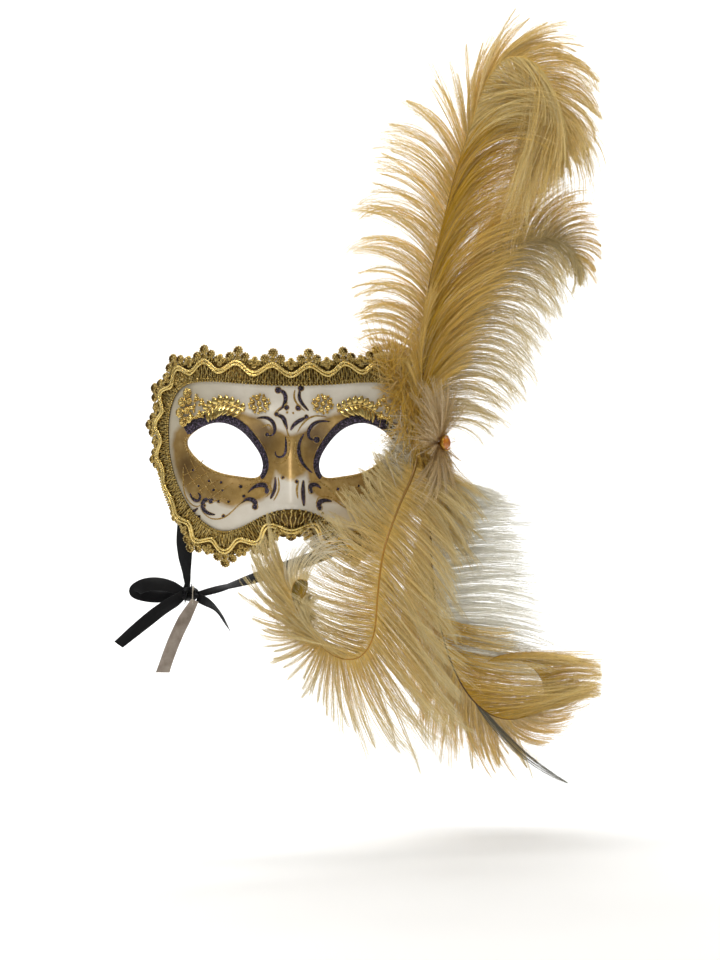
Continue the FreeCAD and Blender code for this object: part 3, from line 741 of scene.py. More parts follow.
def glued_patch(name, s, z):
    """The ribbon's folded end, glued flat inside the shell."""
    rows = 24
    u = np.linspace(-1, 1, rows)[:, None]
    v = np.linspace(-1, 1, rows)[None]
    place_s = s + 7.6 * u * (1 + 0.03 * np.sin(9 * v) + 0.02 * np.cos(13 * u))
    place_z = z + 6.6 * v * (1 + 0.02 * np.sin(11 * u))
    crown = 0.25 * np.sin(2.6 * u) * np.cos(2.2 * v) * (1 - u ** 4) * (1 - v ** 4)
    glued = off_face(place_s, place_z, -SHELL - GLUE)
    bare = off_face(place_s, place_z, -SHELL - GLUE - 0.85 - crown)
    grid = grid_faces(rows, rows)
    heap = Heap()
    heap.add([glued, bare], grid, grid[:, ::-1] + rows * rows, rim_faces(rows, rows))
    finished(heap, name + "_satin", "black_satin", name)


bow_pieces = [bow_loop(), bow_knot(), tag_thread(), hang_tag()]
tail_short, _ = ribbon_piece(["bow_tail_short"], TAIL_SHORT, [6, 7, 6, 5.5, 4], [0, 50, 70, 74, 78],
                             end_cut=-3)
bow_pieces.append(tail_short)
# The right ribbon goes through the knot and comes out as the long tail.
tie_right, right_path = ribbon_piece(
    ["ribbon_right", "bow_tail_long"], RIGHT_TIE + TAIL_LONG,
    [12, 11.4, 9.4, 6.6, 4, 5.5, 8.5, 9, 8.8, 8.4, 7.6], [-2, -4, -10, -24, -10, 0, 14, 16, -4, -16, -26],
    cup=0.08, end_cut=1.2)
tie_left, left_path = ribbon_piece(["ribbon_left"], LEFT_TIE, [4, 7, 8.6, 9, 9, 9, 9, 9, 9],
                                   [0, 62, 40, 16, 8, 4, -4, -10, -14])
glued_patch("ribbon_patch_right", -67.0, -43.0)
glued_patch("ribbon_patch_left", 74.0, -36.0)


# -------------------------------------------------------------- mask shell
# Gilded patches on the wearer's right, as (x, z): socket and cheek, then nose.
GILT_CHEEK = [
    (-77, 10), (-79, -6), (-75, -22), (-68, -33), (-61, -38), (-53, -36), (-46, -39), (-38, -41),
    (-30, -38), (-22, -37), (-15, -33), (-11, -22), (-8, -10), (-9, 2), (-14, 12), (-24, 19),
    (-38, 22), (-54, 21), (-68, 17),
]
GILT_NOSE = [
    (-15, 12), (-14, -6), (-12, -16), (-6, -21), (0, -23), (6, -21), (12, -16), (14, -6), (15, 12), (6, 9),
    (0, 7), (-6, 9),
]


def inside(points, outline):
    """Signed distance of points from a closed outline, positive inside."""
    start = outline
    end = np.roll(outline, -1, axis=0)
    distance = np.full(len(points), 1e9)
    crossings = np.zeros(len(points), int)
    for a, b in zip(start, end):
        edge = b - a
        share = np.clip((points - a) @ edge / (edge @ edge), 0, 1)
        distance = np.minimum(distance, np.linalg.norm(points - a - share[:, None] * edge, axis=1))
        spans = (a[1] > points[:, 1]) != (b[1] > points[:, 1])
        rise = edge[1] if abs(edge[1]) > 1e-9 else 1e-9
        crossings += spans & (points[:, 0] < a[0] + (points[:, 1] - a[1]) / rise * edge[0])
    return np.where(crossings % 2 == 1, distance, -distance)


def outline_places(curve, spacing):
    count = int(curve.length / spacing)
    return curve.place(np.arange(count) / count)


SHELL_STEP = 1.25
SHELL_ROW = 0.866 * SHELL_STEP
UNGILDED = -9.0


def clear_of(points, loops, margin):
    """Which points lie inside the first loop and outside the others by a margin."""
    clear = inside(points, loops[0]) > margin
    for hole in loops[1:]:
        clear &= inside(points, hole) < -margin
    return clear


def shell_plane():
    """The unrolled shell, triangulated evenly: places (s, z) and triangles."""
    loops = [outline_places(OUTLINE, SHELL_STEP)]
    for side in (1, -1):
        hole = outline_places(EYES[side], SHELL_STEP)
        hole[:, 0] = unrolled(hole[:, 0])
        loops.append(hole)
    s, z = np.meshgrid(np.arange(-98, 99, SHELL_STEP), np.arange(-73, 58, SHELL_ROW))
    s = s + SHELL_STEP / 2 * (np.arange(len(s)) % 2)[:, None]
    lattice = np.stack([s.ravel(), z.ravel()], -1)
    points = np.vstack(loops + [lattice[clear_of(lattice, loops, SHELL_STEP * 0.5)]])
    edges = []
    start = 0
    for loop in loops:
        ring = start + np.arange(len(loop))
        edges += list(zip(ring.tolist(), np.roll(ring, -1).tolist()))
        start += len(loop)
    result = geometry.delaunay_2d_cdt([Vector(p) for p in points], edges, [], 0, 1e-5)
    places, faces = np.array(result[0]), np.array(result[2])
    return places, faces[clear_of(places[faces].mean(axis=1), loops, 0.0)]


def rim_walls(faces, count):
    """Quads that join the open edges of the front's triangles to the back's."""
    edges = np.vstack([faces[:, [0, 1]], faces[:, [1, 2]], faces[:, [2, 0]]])
    _, first, uses = np.unique(np.sort(edges, axis=1), axis=0, return_index=True, return_counts=True)
    border = edges[first[uses == 1]]
    return np.stack([border[:, 1], border[:, 0], border[:, 0] + count, border[:, 1] + count], -1)


def paint_values(x, z):
    """How far inside the gilding, and how much painted shade darkens the gilt and the white."""
    gilding = np.full(len(x), UNGILDED)
    for outline in (GILT_CHEEK, mirrored(GILT_CHEEK), GILT_NOSE):
        patch = Curve(outline, closed=True).place(np.arange(160) / 160)
        gilding = np.maximum(gilding, inside(np.stack([x, z], -1), patch))
    # Painted shade on the gilt: some on the cheeks, more in the sockets' inner corners by the nose and at
    # their outer corners.
    ageing = 0.4 * np.clip((np.abs(x) - 22) / 26, 0, 1)
    for side in (1, -1):
        nose = bump(x - side * 17, 11) * bump(z - 5, 17)
        corner = bump(x - side * 70, 10) * bump(z + 14, 15)
        ageing = np.maximum(ageing, 0.85 * np.maximum(nose, corner))
    # Painted shade on the white, growing towards the temples.
    return gilding, ageing, 0.6 * np.clip((np.abs(x) - 34) / 38, 0, 1)


def mask_shell():
    """The papier-mache shell: its front, the back at an even depth and the walls."""
    places, faces = shell_plane()
    count = len(places)
    walls = rim_walls(faces, count)
    front, back = (off_face(places[:, 0], places[:, 1], height) for height in (0.0, -SHELL))
    a, b, c = front[faces[0]]
    if np.cross(b - a, c - a)[1] > 0:
        faces = faces[:, ::-1]
        walls = walls[:, ::-1]
    gilding, ageing, yellowing = paint_values(front[:, 0], places[:, 1])
    # On the back: no gilding, no shade on the gilt, and the white darkened evenly by 0.2.
    piece = mesh_object(
        "mask_shell_paint", np.concatenate([front, back]), [faces, faces[:, ::-1] + count, walls],
        MATERIALS["papier_mache"], gilding=np.append(gilding, np.full(count, UNGILDED)),
        ageing=np.append(ageing, np.zeros(count)), yellowing=np.append(yellowing, np.full(count, 0.2)))
    fit(piece, "mask", "papier_mache", "mask_shell")


mask_shell()


# ------------------------------------------------------------ painted lines
# Heights off the face: the edge of every stroke, then the crowns of lines.
PAINT_FOOT = -0.08
LINE, FINE_LINE, EDGE_LINE = 0.42, 0.4, 0.26


def sideways(step):
    """Directions in the plane, a quarter turn from the steps."""
    return np.stack([-step[..., 1], step[..., 0]], -1)


def away(places, step, middle=(0.0, 0.0)):
    """Directions square to the steps that point away from the middle."""
    side = sideways(step)
    facing = ((places - np.asarray(middle)) * side).sum(axis=-1)
    return side * np.where(facing < 0, -1.0, 1.0)[..., None]


def face_stroke(heap, path, half_widths, height, ends=True):
    """A domed line of paint along points (x, z) of the face."""
    path = np.asarray(path, float)
    plane = np.stack([unrolled(path[:, 0]), path[:, 1]], -1)
    side = sideways(unit(np.gradient(plane, axis=0)))
    place = np.array([-1, -0.8, -0.4, 0, 0.4, 0.8, 1])
    half_widths = np.broadcast_to(half_widths, (len(path),))
    spots = plane[:, None] + (half_widths[:, None] * place)[..., None] * side[:, None]
    dome = np.sqrt(1 - 0.999 * place ** 2)
    rise = PAINT_FOOT + (height - PAINT_FOOT) * dome * np.ones((len(path), 1))
    if ends:
        rise[0] = rise[-1] = PAINT_FOOT
    heap.add(off_face(spots[..., 0], spots[..., 1], rise), grid_faces(len(path), len(place)))


def face_dot(heap, x, z, radius, height):
    """A flat bead of paint on the face."""
    s = float(unrolled(x))
    normal = face_normal(s, z)
    points, faces = BALL_ROUGH if radius < 0.7 else BALL_FINE
    centre = off_face(s, z, 0.0)
    flat = points - np.outer(points @ normal, normal) * (1 - height / radius)
    heap.add(centre + flat * radius, faces)


def comma(path, widest, taper=1.0, count=26):
    """Smooth points of a stroke and half widths that swell and taper off."""
    curve = Curve(path)
    share = np.linspace(0, 1, count)
    swell = np.sin(np.pi * np.clip(share * 0.96 + 0.02, 0, 1) ** taper) ** 0.7
    return curve.place(share), 0.12 + widest * swell


# Brush strokes as (half width, taper, points (x, z)).  A taper under 1 puts
# the widest place near the start.
BLACK_STROKES = [
    (0.95, 0.6, [(-7.5, 36), (-5.2, 35), (-3.6, 30), (-5.2, 25.5), (-9, 22)]),
    (0.75, 0.8, [(6, 37), (5.6, 31), (8.4, 26), (11.6, 22.5)]),
    (1.0, 0.7, [(-9, 19.5), (-5.6, 18), (-3.6, 13.5), (-2.4, 10)]),
    (0.9, 0.8, [(9.5, 18), (4.8, 15.5), (1.4, 12.6), (-0.4, 9.5)]),
    (0.8, 1.0, [(-22.5, 17.5), (-15.5, 17.6), (-10.8, 12), (-12.2, 6.6), (-16, 6.4)]),
    (0.9, 1.3, [(26, 15.5), (17.5, 15.2), (12.4, 11), (12, 5), (16.5, 3)]),
    (0.95, 1.0, [(8.5, 7.5), (5.4, 1), (5.4, -7), (9, -14), (14, -18.5)]),
    (0.6, 1.0, [(-3.6, 5.5), (-3.4, -1), (-5.8, -7.6), (-9.2, -7.6), (-10.4, -4)]),
    (0.75, 1.2, [(-10.4, -21), (-10.6, -28), (-13.6, -35.5)]),
    (1.0, 1.0, [(7.8, -23), (7.4, -31), (8, -40)]),
    (1.25, 1.7, [(-28.5, -31.5), (-23, -27), (-17, -26.8), (-15.4, -30.5)]),
    (1.25, 1.6, [(-33, -38.5), (-28.5, -35.6), (-24.4, -36.6), (-23, -41.5)]),
    (1.2, 0.6, [(12.4, -30.5), (13, -26.6), (17, -26.4), (19.6, -28.8)]),
    (1.25, 0.6, [(18.6, -42.5), (18.4, -38), (22, -36.4), (27, -37.2)]),
    (0.8, 1.0, [(-67, -31.5), (-65, -35.4), (-61.4, -36.6), (-60, -33.4), (-62, -31.2)]),
    (1.15, 0.7, [(-52.6, -36), (-57, -36.4), (-58.2, -41.5), (-54, -45.2), (-49.8, -46)]),
    (0.85, 1.0, [(-71.6, -37), (-70, -42.6), (-65.6, -44), (-61.4, -41.5)]),
    (0.75, 0.5, [(-61, -46.4), (-60.8, -49.6)]),
]
GOLD_STROKES = [
    (0.55, 0.8, [(2.6, 36.5), (2.2, 31), (5, 26), (9.4, 22)]),
    (0.6, 0.9, [(-10.6, 21.6), (-6.4, 24.6), (-2, 28)]),
    (0.6, 0.8, [(4.4, -24.5), (3.4, -29), (4, -35)]),
    (0.45, 1.0, [(-8.6, -21), (-8.2, -29), (-11.6, -36.5)]),
    (0.55, 1.0, [(24, 18.5), (14, 18.6), (7.4, 13.6), (4, 8)]),
    (0.5, 1.0, [(-4.6, 15), (-1.6, 5), (-1.8, -5), (-6.4, -12), (-12, -10.6)]),
    (0.5, 1.0, [(-19, 11.6), (-14.4, 13), (-12.6, 9.6)]),
    (0.5, 1.0, [(3.2, 4), (3, -8), (7.6, -17)]),
    (0.42, 1.0, [(-71.6, -14), (-71.6, -26), (-69, -35.6), (-62, -40.6), (-58, -38)]),
    (0.42, 1.0, [(-59.4, -43), (-53, -48.4), (-44, -47.6), (-36.6, -41.6), (-30, -35.4)]),
    (0.4, 1.0, [(-56, -33.6), (-51, -37), (-45, -34.6), (-40, -37)]),
    (0.45, 1.0, [(-31, -28.8), (-24, -24.6), (-15.6, -24.6), (-13, -30), (-17.4, -34.4)]),
    (0.45, 1.0, [(10.6, -24.6), (15.4, -23.4), (24, -28), (31, -35.4)]),
    (0.45, 1.0, [(16, -39), (18, -34.6), (24, -34), (34, -40), (42, -44)]),
    (0.42, 1.0, [(71.6, -14), (71.6, -26), (69, -35.6), (62, -40.6), (58, -38)]),
    (0.42, 1.0, [(59.4, -43), (53, -48.4), (44, -47.6), (38, -43)]),
]
LATTICE = [
    [(-71, -12), (-66, -22), (-58, -32)], [(-67, -9), (-61, -20), (-52, -33)],
    [(-63, -8.5), (-56, -19), (-46, -34)], [(-72, -20), (-64, -16), (-58, -9.5)],
    [(-71, -28), (-62, -22), (-54, -17.5)], [(-66, -35), (-57, -28), (-47, -22.5)],
    [(-56, -38), (-49, -32), (-38, -25)],
]
BLACK_DOTS = [
    (-8.4, 36.2, 1.7), (6.6, 37.6, 1.6), (-15.6, 6.9, 1.2), (17, 3.6, 1.9), (-15.8, -30, 1.7),
    (-23.6, -40.6, 1.5),
    (13, -30.2, 1.4), (18.8, -41.4, 1.4), (-52.8, -36.6, 1.6), (-9.6, 20.2, 1.1), (10, 18.4, 1.1),
    (-3, 24.6, 1.3), (4.8, 24.4, 1.5), (-54, -23.6, 0.85), (-46, -24.6, 0.85), (-51, -29.6, 0.9),
    (-45, -29.8, 0.8), (-33, -27.4, 1.0), (-65, -16.4, 0.9), (-61, -27, 0.75), (-47.6, -37, 0.8),
    (-41, -37.2, 0.8), (-31, -33.6, 0.9), (-44.4, -46.8, 0.9), (-5.6, -21.4, 0.8), (3.4, -24, 0.9),
    (31, -29, 0.9), (38, -33, 0.9), (45, -27, 0.8), (52, -31, 0.9), (59, -25, 0.8), (48, -37, 0.8),
    (61, -34, 0.8), (20.6, -45, 0.6), (-57, -40, 0.6),
]
GOLD_DOTS = [
    (-2.6, 21.4, 0.9), (1.4, 21, 0.8), (-62.6, -21.4, 0.5), (-57.6, -26.6, 0.5), (-38.6, -31.4, 0.5),
    (-56.6, -19, 0.5), (-40.6, -26.4, 0.5), (-26.6, -35, 0.5), (35, -27, 0.5), (55, -27, 0.5),
]


def painted_scrolls(black, gold):
    for half_width, taper, path in BLACK_STROKES:
        places, widths = comma(path, half_width * 1.2, taper)
        face_stroke(black, places, widths, LINE)
        side = sideways(unit(np.gradient(places, axis=0))) * (widths + 0.12)[:, None]
        wobble = 0.13 + 0.03 * np.sin(np.arange(len(places)))
        for edge in (-side, side):
            face_stroke(gold, places + edge, wobble, EDGE_LINE)
    for half_width, taper, path in GOLD_STROKES:
        places, widths = comma(path, half_width, taper)
        face_stroke(gold, places, widths, FINE_LINE)
    for path in LATTICE:
        for line in (path, mirrored(path)):
            face_stroke(gold, Curve(line).place(np.linspace(0, 1, 24)), 0.3, LINE)
    for x, z, dot in BLACK_DOTS:
        radius = dot * 1.2
        face_dot(black, x, z, radius, 0.5)
        ring = circle((x, z), (radius + 0.15, 0), (0, radius + 0.15), once_round(17))
        face_stroke(gold, ring, 0.26, 0.36, ends=False)
    for x, z, radius in GOLD_DOTS:
        face_dot(gold, x, z, radius, FINE_LINE)


def eye_edge(eye, shares):
    """Places along an eye's outline, and directions away from its middle."""
    places = eye.place(shares)
    return places, away(places, eye.heading(shares), eye.points.mean(axis=0))


def eye_band(black, gold, side):
    """Glitter liner over the eye and down the nose side, gold below it."""
    eye = EYES[side]
    top = np.linspace(-0.045, 0.492, 150)
    places, out = eye_edge(eye, top)
    width = np.interp(top, [-0.045, 0.0, 0.12, 0.3, 0.42, 0.492], [3.2, 4.0, 4.5, 6.2, 7.4, 8.0])
    face_stroke(black, places + out * (width / 2 - 0.1)[:, None], width / 2, 0.55)
    face_stroke(gold, places + out * (width + 0.05)[:, None], 0.22, 0.34)
    low = np.linspace(0.485, 0.965, 120)
    places, out = eye_edge(eye, low)
    face_stroke(gold, places + out * 0.75, 0.85, LINE)
    for share in np.linspace(0.5, 0.95, 36):
        x, z = eye.place(share) + 1.9 * out[int((share - low[0]) / (low[-1] - low[0]) * 119)]
        face_dot(gold, x, z, 0.42, 0.36)


black_paint, gold_paint = Heap(), Heap()
painted_scrolls(black_paint, gold_paint)
for side in (1, -1):
    eye_band(black_paint, gold_paint, side)
finished(black_paint, "glitter_liner_black", "papier_mache", material="black_glitter")
finished(gold_paint, "glitter_liner_gold", "papier_mache", material="gold_glitter")


# ------------------------------------------------------------ galloon braid
BRAID_IN, BRAID_OUT = 13.0, 4.0
SCALLOP_COUNT = 25
SWING = 3.2
RIB_PITCH = 1.5
# Painted shade: a dark tint for the braid's ground between the ribs and for the squashed balls under the
# rosettes' coils.
GAP_SHADE = (0.16, 0.13, 0.09)
STRIPS = {
    "braid_top": (-0.1565, 0.1565),
    "braid_left_temple": (0.1565, 0.3435),
    "braid_bottom": (0.3435, 0.6565),
    "braid_right_temple": (0.6565, 0.8435),
}


def fade(share):
    """From 1 to 0.2, how much of the scallops stands round the low temples."""
    folded = np.abs((np.asarray(share) + 0.5) % 1.0 - 0.5)
    return 1.0 - 0.8 * bump(folded - 0.31, 0.045)


def braid_point(share, reach, height):
    """Point of the braid at a distance outside the shell's edge."""
    share, reach, height = np.broadcast_arrays(
        np.asarray(share, float), np.asarray(reach, float), np.asarray(height, float))
    point = OUTLINE.place(share)
    spot = point + away(point, OUTLINE.heading(share)) * reach[..., None]
    return off_face(spot[..., 0], spot[..., 1], height)


def braid_frame(share, reach, height):
    """Place, and the outward, along and up directions of the braid there."""
    place = braid_point(share, reach, height)
    out = unit(braid_point(share, reach + 0.4, height) - place)
    up = unit(braid_point(share, reach, height + 0.4) - place)
    return place, out, np.cross(up, out), up


def ribbed_band(heap, start, end):
    """The braid's woven ground, darkened as painted shade between the ribs, and the cord ribs that cross it.
    """
    length = (end - start) * OUTLINE.length
    rows = int(length / 0.8)
    share = np.linspace(start, end, rows)
    place = np.linspace(0, 1, 9)
    outer = BRAID_OUT - 2.0 + 1.5 * fade(share)
    reach = -BRAID_IN + 0.6 + (outer[:, None] + BRAID_IN - 0.6) * place
    height = np.full(reach.shape, GLUE + 0.6)
    height[:, 0] = height[:, -1] = GLUE
    heap.add(braid_point(share[:, None], reach, height), grid_faces(rows, len(place)), tint=GAP_SHADE)
    along = np.linspace(0, 1, 9)
    for k in range(int(length / RIB_PITCH)):
        foot = start + (k + 0.5) * RIB_PITCH / OUTLINE.length
        swing = SWING * float(fade(foot)) * math.cos(2 * math.pi * foot * SCALLOP_COUNT)
        reach = -BRAID_IN + 1.2 + (BRAID_IN - 4.6 - swing) * along
        weave = foot + 0.28 * np.sin(np.pi * (3 * along + k)) / OUTLINE.length
        path = braid_point(weave, reach, GLUE + 0.75 + 0.3 * np.sin(np.pi * (2.5 * along + 0.5 * k)))
        shade = 0.55 + 0.45 * ((7 * k) % 5) / 4
        thickness = 0.5 + 0.13 * np.cos(6 * np.pi * along + k)
        heap.add(*tube(path, thickness, 6, flatten=0.9), tint=(shade,) * 3)


# Rows of little thread loops, as (reach, spacing, radius, height off the glue).
PICOTS = [
    (-BRAID_IN + 0.7, 2.1, 0.78, 0.95), (-BRAID_IN + 2.3, 1.55, 0.5, 1.15),
    (1.9, 1.9, 0.75, 0.9), (0.6, 1.5, 0.55, 1.2),
]


def picots(heap, start, end):
    for reach, spacing, radius, height in PICOTS:
        count = int((end - start) * OUTLINE.length / spacing)
        for place in braid_point(np.linspace(start, end, count), reach, GLUE + height):
            add_ball(heap, place, radius, BALL_ROUGH)


def soutache(heap, start, end):
    """Two bright cords that wave side by side along the braid."""
    length = (end - start) * OUTLINE.length
    share = np.linspace(start, end, int(length / 0.5))
    phase = 2 * np.pi * share * SCALLOP_COUNT
    swing = SWING * fade(share)
    for offset in (-1.05, 1.05):
        reach = -2.6 + offset - swing * np.cos(phase)
        beat = 0.5 + 0.5 * np.sin(2 * np.pi * share * OUTLINE.length / 1.1 + offset)
        path = braid_point(share, reach, GLUE + 1.75 + 0.12 * beat)
        heap.add(*tube(path, 0.86 + 0.07 * beat, 9, flatten=0.85))


# Coils of a rosette on a crest, and of a filler in a trough, as
# (distance outward, distance aside, radius).
LOBES = [
    (9.2, 0.0, 3.4), (5.2, 5.2, 3.2), (5.2, -5.2, 3.2), (2.0, 9.6, 2.0), (2.0, -9.6, 2.0), (4.4, 0.0, 2.6),
]
FILLER = [(4.4, 0.0, 2.0), (2.2, 2.6, 1.7), (2.2, -2.6, 1.7), (-0.6, 0.0, 1.8)]


def rosette(ground, cords, share, scale, lobes):
    """Knobbly thread coils that stand outward from the braid's edge."""
    place, out, along, up = braid_frame(share, 0.0, GLUE + 0.8)
    for reach, aside, radius in lobes:
        centre = place + out * reach * scale + along * aside * (0.4 + 0.6 * scale)
        radius = radius * (0.35 + 0.65 * scale)
        # A dark squashed ball under the coils: painted shade in the rosette's hollow.
        add_ball(ground, centre, radius * 0.8, BALL_FINE, (1, 0.45, 1), tint=GAP_SHADE)
        for ring, count, size, lift in ((0.86, 11, 0.25, 0.1), (0.45, 6, 0.26, 0.55)):
            for k in range(count):
                angle = 2 * math.pi * (k + 0.5 * (ring < 0.5)) / count
                spoke = math.cos(angle) * out + math.sin(angle) * along
                add_ball(ground, centre + spoke * radius * ring + up * lift, radius * size, BALL_ROUGH)
        add_ball(ground, centre + up * 0.8, radius * 0.24, BALL_ROUGH)
        coil = circle(centre + up * 0.55, out * radius * 0.66, along * radius * 0.66, once_round(26))
        cords.add(*tube(coil, 0.2 + 0.03 * scale, 6, up))


def braid_piece(node, start, end):
    ground, cords = Heap(), Heap()
    ribbed_band(ground, start, end)
    picots(ground, start, end)
    soutache(cords, start, end)
    for half in range(math.ceil(2 * start * SCALLOP_COUNT), math.floor(2 * end * SCALLOP_COUNT) + 1):
        share = half / 2 / SCALLOP_COUNT
        rosette(ground, cords, share, float(fade(share) - 0.2) / 0.8, LOBES if half % 2 else FILLER)
    finished(ground, node + "_ground", "gold_braid", node)
    finished(cords, node + "_cords", "gold_braid", node, material="gold_cord")


for node, (start, end) in STRIPS.items():
    braid_piece(node, start, end)


# --------------------------------------------------------------- brow trim
BALL = 3.2
SPRIG_START, SPRIG_LENGTH, SPRIG_HEIGHT = 28.0, 26.0, 22.0
ROSETTE = (19.0, 27.0)
OUTER_BALLS = [(56, 28), (60, 31), (63, 25), (58, 20), (64, 19)]
NUGGETS = [(67, 35), (71, 29), (73, 22), (70, 16)]


def bead(heap, s, z, diameter):
    """A plated ball in a small rim."""
    centre = off_face(s, z, GLUE + diameter / 2)
    normal, side, up = face_frame(s, z)
    add_ball(heap, centre, diameter / 2)
    ring = circle(centre - normal * diameter * 0.28, side * diameter / 2, up * diameter / 2, once_round(25))
    heap.add(*tube(ring, diameter * 0.09, 6, normal))


def leaf(heap, base, along, normal, length, half_width):
    """A pointed leaf with a raised midrib and dished halves."""
    share = np.linspace(0, 1, 15)
    side = unit(np.cross(normal, along))
    width = half_width * np.sin(np.pi * share ** 0.8) ** 0.85
    place = np.array([-1, -0.5, 0, 0.5, 1])
    arch = np.sin(np.pi * share) * length * 0.1
    vein = 0.5 - np.abs(place) * 0.9 + 0.35 * place ** 2
    top = (base + share[:, None, None] * length * along + (width[:, None] * place)[..., None] * side
           + (arch[:, None] + half_width * 0.5 * vein * (width / half_width)[:, None])[..., None] * normal)
    under = top - normal * 0.35
    ring = np.concatenate([top, under[:, ::-1]], axis=1)
    heap.add(ring, grid_faces(len(share), 10, True))


def brow_sprig(name, side):
    """A curved stem with pairs of leaves, a bud at its tip."""
    heap = Heap()
    share = np.linspace(0, 1, 50)
    s = side * (SPRIG_START + SPRIG_LENGTH * share)
    z = SPRIG_HEIGHT + 5.0 * np.sin(np.pi * share)
    stem = off_face(s, z, GLUE + 0.9)
    heap.add(*tube(stem, np.linspace(0.85, 0.55, 50), 8))
    for k in range(8):
        at = int((k + 0.5) / 8.2 * 49)
        normal = face_normal(s[at], z[at])
        forward = unit(stem[min(at + 2, 49)] - stem[max(at - 2, 0)])
        size = 1.0 - 0.25 * abs(k - 4) / 4
        for up, length, half_width in ((1.0, 10.4, 1.9), (-1.0, 6.4, 2.2)):
            outward = np.cross(normal, forward) * (-up * side)
            direction = unit(0.42 * forward + outward + normal * 0.12)
            leaf(heap, stem[at] + direction * 0.5, direction, normal, length * size, half_width * size)
    tip = unit(stem[-1] - stem[-4])
    leaf(heap, stem[-1], tip, face_normal(s[-1], z[-1]), 4.6, 1.4)
    node = "brow_sprig_" + name
    finished(heap, node + "_gold", "gold_trim", node)


def bead_at(heap, s, z, side, reach, turn, diameter):
    """A bead at a reach and turn from a place of the brow, on either side."""
    bead(heap, side * (s + reach * math.cos(turn)), z + reach * math.sin(turn), diameter)


def brow_beads(name, side):
    flower, cluster = Heap(), Heap()
    bead(flower, side * ROSETTE[0], ROSETTE[1], BALL * 0.95)
    for k in range(6):
        turn = 2 * math.pi * (k + 0.25) / 6
        bead_at(flower, *ROSETTE, side, 4.2, turn, BALL)
        for aside in (0.34, -0.34):
            bead_at(flower, *ROSETTE, side, 6.2, turn + aside, BALL * 0.5)
    for s, z in OUTER_BALLS:
        bead(cluster, side * s, z, BALL * 0.92)
        for k in range(3):
            bead_at(cluster, s, z, side, 2.5, s + 2.1 * k, BALL * 0.5)
    finished(flower, "brow_rosette_%s_gold" % name, "gold_trim", "brow_rosette_" + name)
    finished(cluster, "brow_beads_%s_gold" % name, "gold_trim", "brow_beads_" + name)


def brow_nuggets():
    """Coiled bullion chips, each a few tight turns of gold purl."""
    heap = Heap()
    chips = [(s, z, 2.9) for s, z in NUGGETS] + [(66.0, 29.5, 2.0), (67.6, 23.6, 2.2), (66.0, 17.4, 2.0)]
    for s, z, size in chips:
        centre = off_face(-s, z, GLUE + size * 0.5)
        normal, side, up = face_frame(-s, z, (0.3, 0.0, 1.0))
        turn = once_round(27)
        for level, radius in ((0.0, size), (0.55, size * 0.75), (1.0, size * 0.4)):
            knobs = (radius * (1 + 0.1 * np.sin(7 * turn + level * 3)))[:, None]
            ring = circle(centre + normal * level * size * 0.6, side * knobs, up * knobs, turn)
            heap.add(*tube(ring, 0.5, 7, normal))
        add_ball(heap, centre + normal * size * 0.5, size * 0.42, BALL_FINE)
    finished(heap, "brow_nuggets_right_gold", "gold_trim", "brow_nuggets_right")


for name, side in (("right", -1), ("left", 1)):
    brow_sprig(name, side)
    brow_beads(name, side)
brow_nuggets()


# ----------------------------------------------------------- plume cluster
CLUSTER = (88.0, 2.0)
QUILL_HEIGHT = 8.6
ROOT_LEAD = 3.0


def cluster_point(along, z, height):
    """Point over the temple: along runs back round the face."""
    normal = face_normal(*CLUSTER)
    back = unit(np.cross([0, 0, 1.0], normal))
    foot = on_face(*CLUSTER) + back * along + normal * height
    return np.array([foot[0], foot[1], z])


ROOTS = {
    "tall_plume": cluster_point(1.0, 12.0, QUILL_HEIGHT),
    "rear_plume": cluster_point(8.5, 8.0, QUILL_HEIGHT),
    "front_plume": cluster_point(-5.0, -6.0, QUILL_HEIGHT),
    "side_plume": cluster_point(6.5, -9.0, QUILL_HEIGHT),
}
ROUTES = {
    "tall_plume": [
        (90, 26, 45), (91, 25, 80), (96, 24, 117), (105, 24, 155), (113, 24, 187), (124, 24, 222),
        (135, 23, 252), (147, 20, 264), (162, 16, 262), (174, 12, 247), (180, 7, 222), (180, 4, 200),
    ],
    "rear_plume": [
        (98, 36, 26), (103, 38.5, 45), (113, 39, 68), (124, 39, 92), (139, 39, 116),
        (157, 39, 136), (175, 38, 146), (188, 36, 142), (194, 34, 129),
    ],
    "front_plume": [
        (82, 16, -20), (75, 8, -34), (68, -1, -49), (61, -10, -67), (57, -15, -88), (55, -16, -110),
        (52, -17, -127), (43, -18, -138), (31, -19, -138), (19, -20, -130), (9, -21, -118),
        (2, -22, -104), (0, -22.5, -94), (4, -23, -87), (10, -23, -88),
    ],
    "side_plume": [
        (96, 35, -30), (97, 38, -58), (99, 38, -96), (104, 38, -125), (113, 38, -153), (127, 38, -176),
        (145, 38, -188), (163, 37, -187), (175, 36, -176), (174, 35, -161), (160, 33, -148),
        (144, 32, -144), (136, 32, -148),
    ],
}


def plume_curve(name):
    heading = unit(np.array(ROUTES[name][0], float) - ROOTS[name])
    return Curve([ROOTS[name] - heading * ROOT_LEAD, ROOTS[name]] + ROUTES[name])


SHAFTS = {name: plume_curve(name) for name in ROUTES}


def dye(red, green, blue):
    """Point colour from display values of 0 to 255."""
    return colour(red, green, blue)[:3]


CREAM = dye(248, 221, 144)
WHITISH = dye(246, 243, 230)
PALE = dye(236, 217, 160)
STRAW = dye(241, 203, 106)
MUSTARD = dye(218, 172, 40)
BRONZE = dye(162, 122, 50)
BEIGE = dye(228, 198, 136)
UMBER = dye(84, 54, 22)
OLIVE = dye(128, 108, 36)
SLATE = dye(112, 108, 92)
GREY_CREAM = dye(208, 182, 120)
MAX_TRIANGLES = 180000
BARBULE_FOOT = 0.125


class Look:
    """A barb's tints at root and tip and its width, with its barbules' length
    and spacing."""

    def __init__(self, root_tint, tip_tint, width=0.42, down=1.9, spacing=0.92):
        self.root_tint, self.tip_tint = np.array(root_tint), np.array(tip_tint)
        self.width, self.down, self.spacing = width, down, spacing


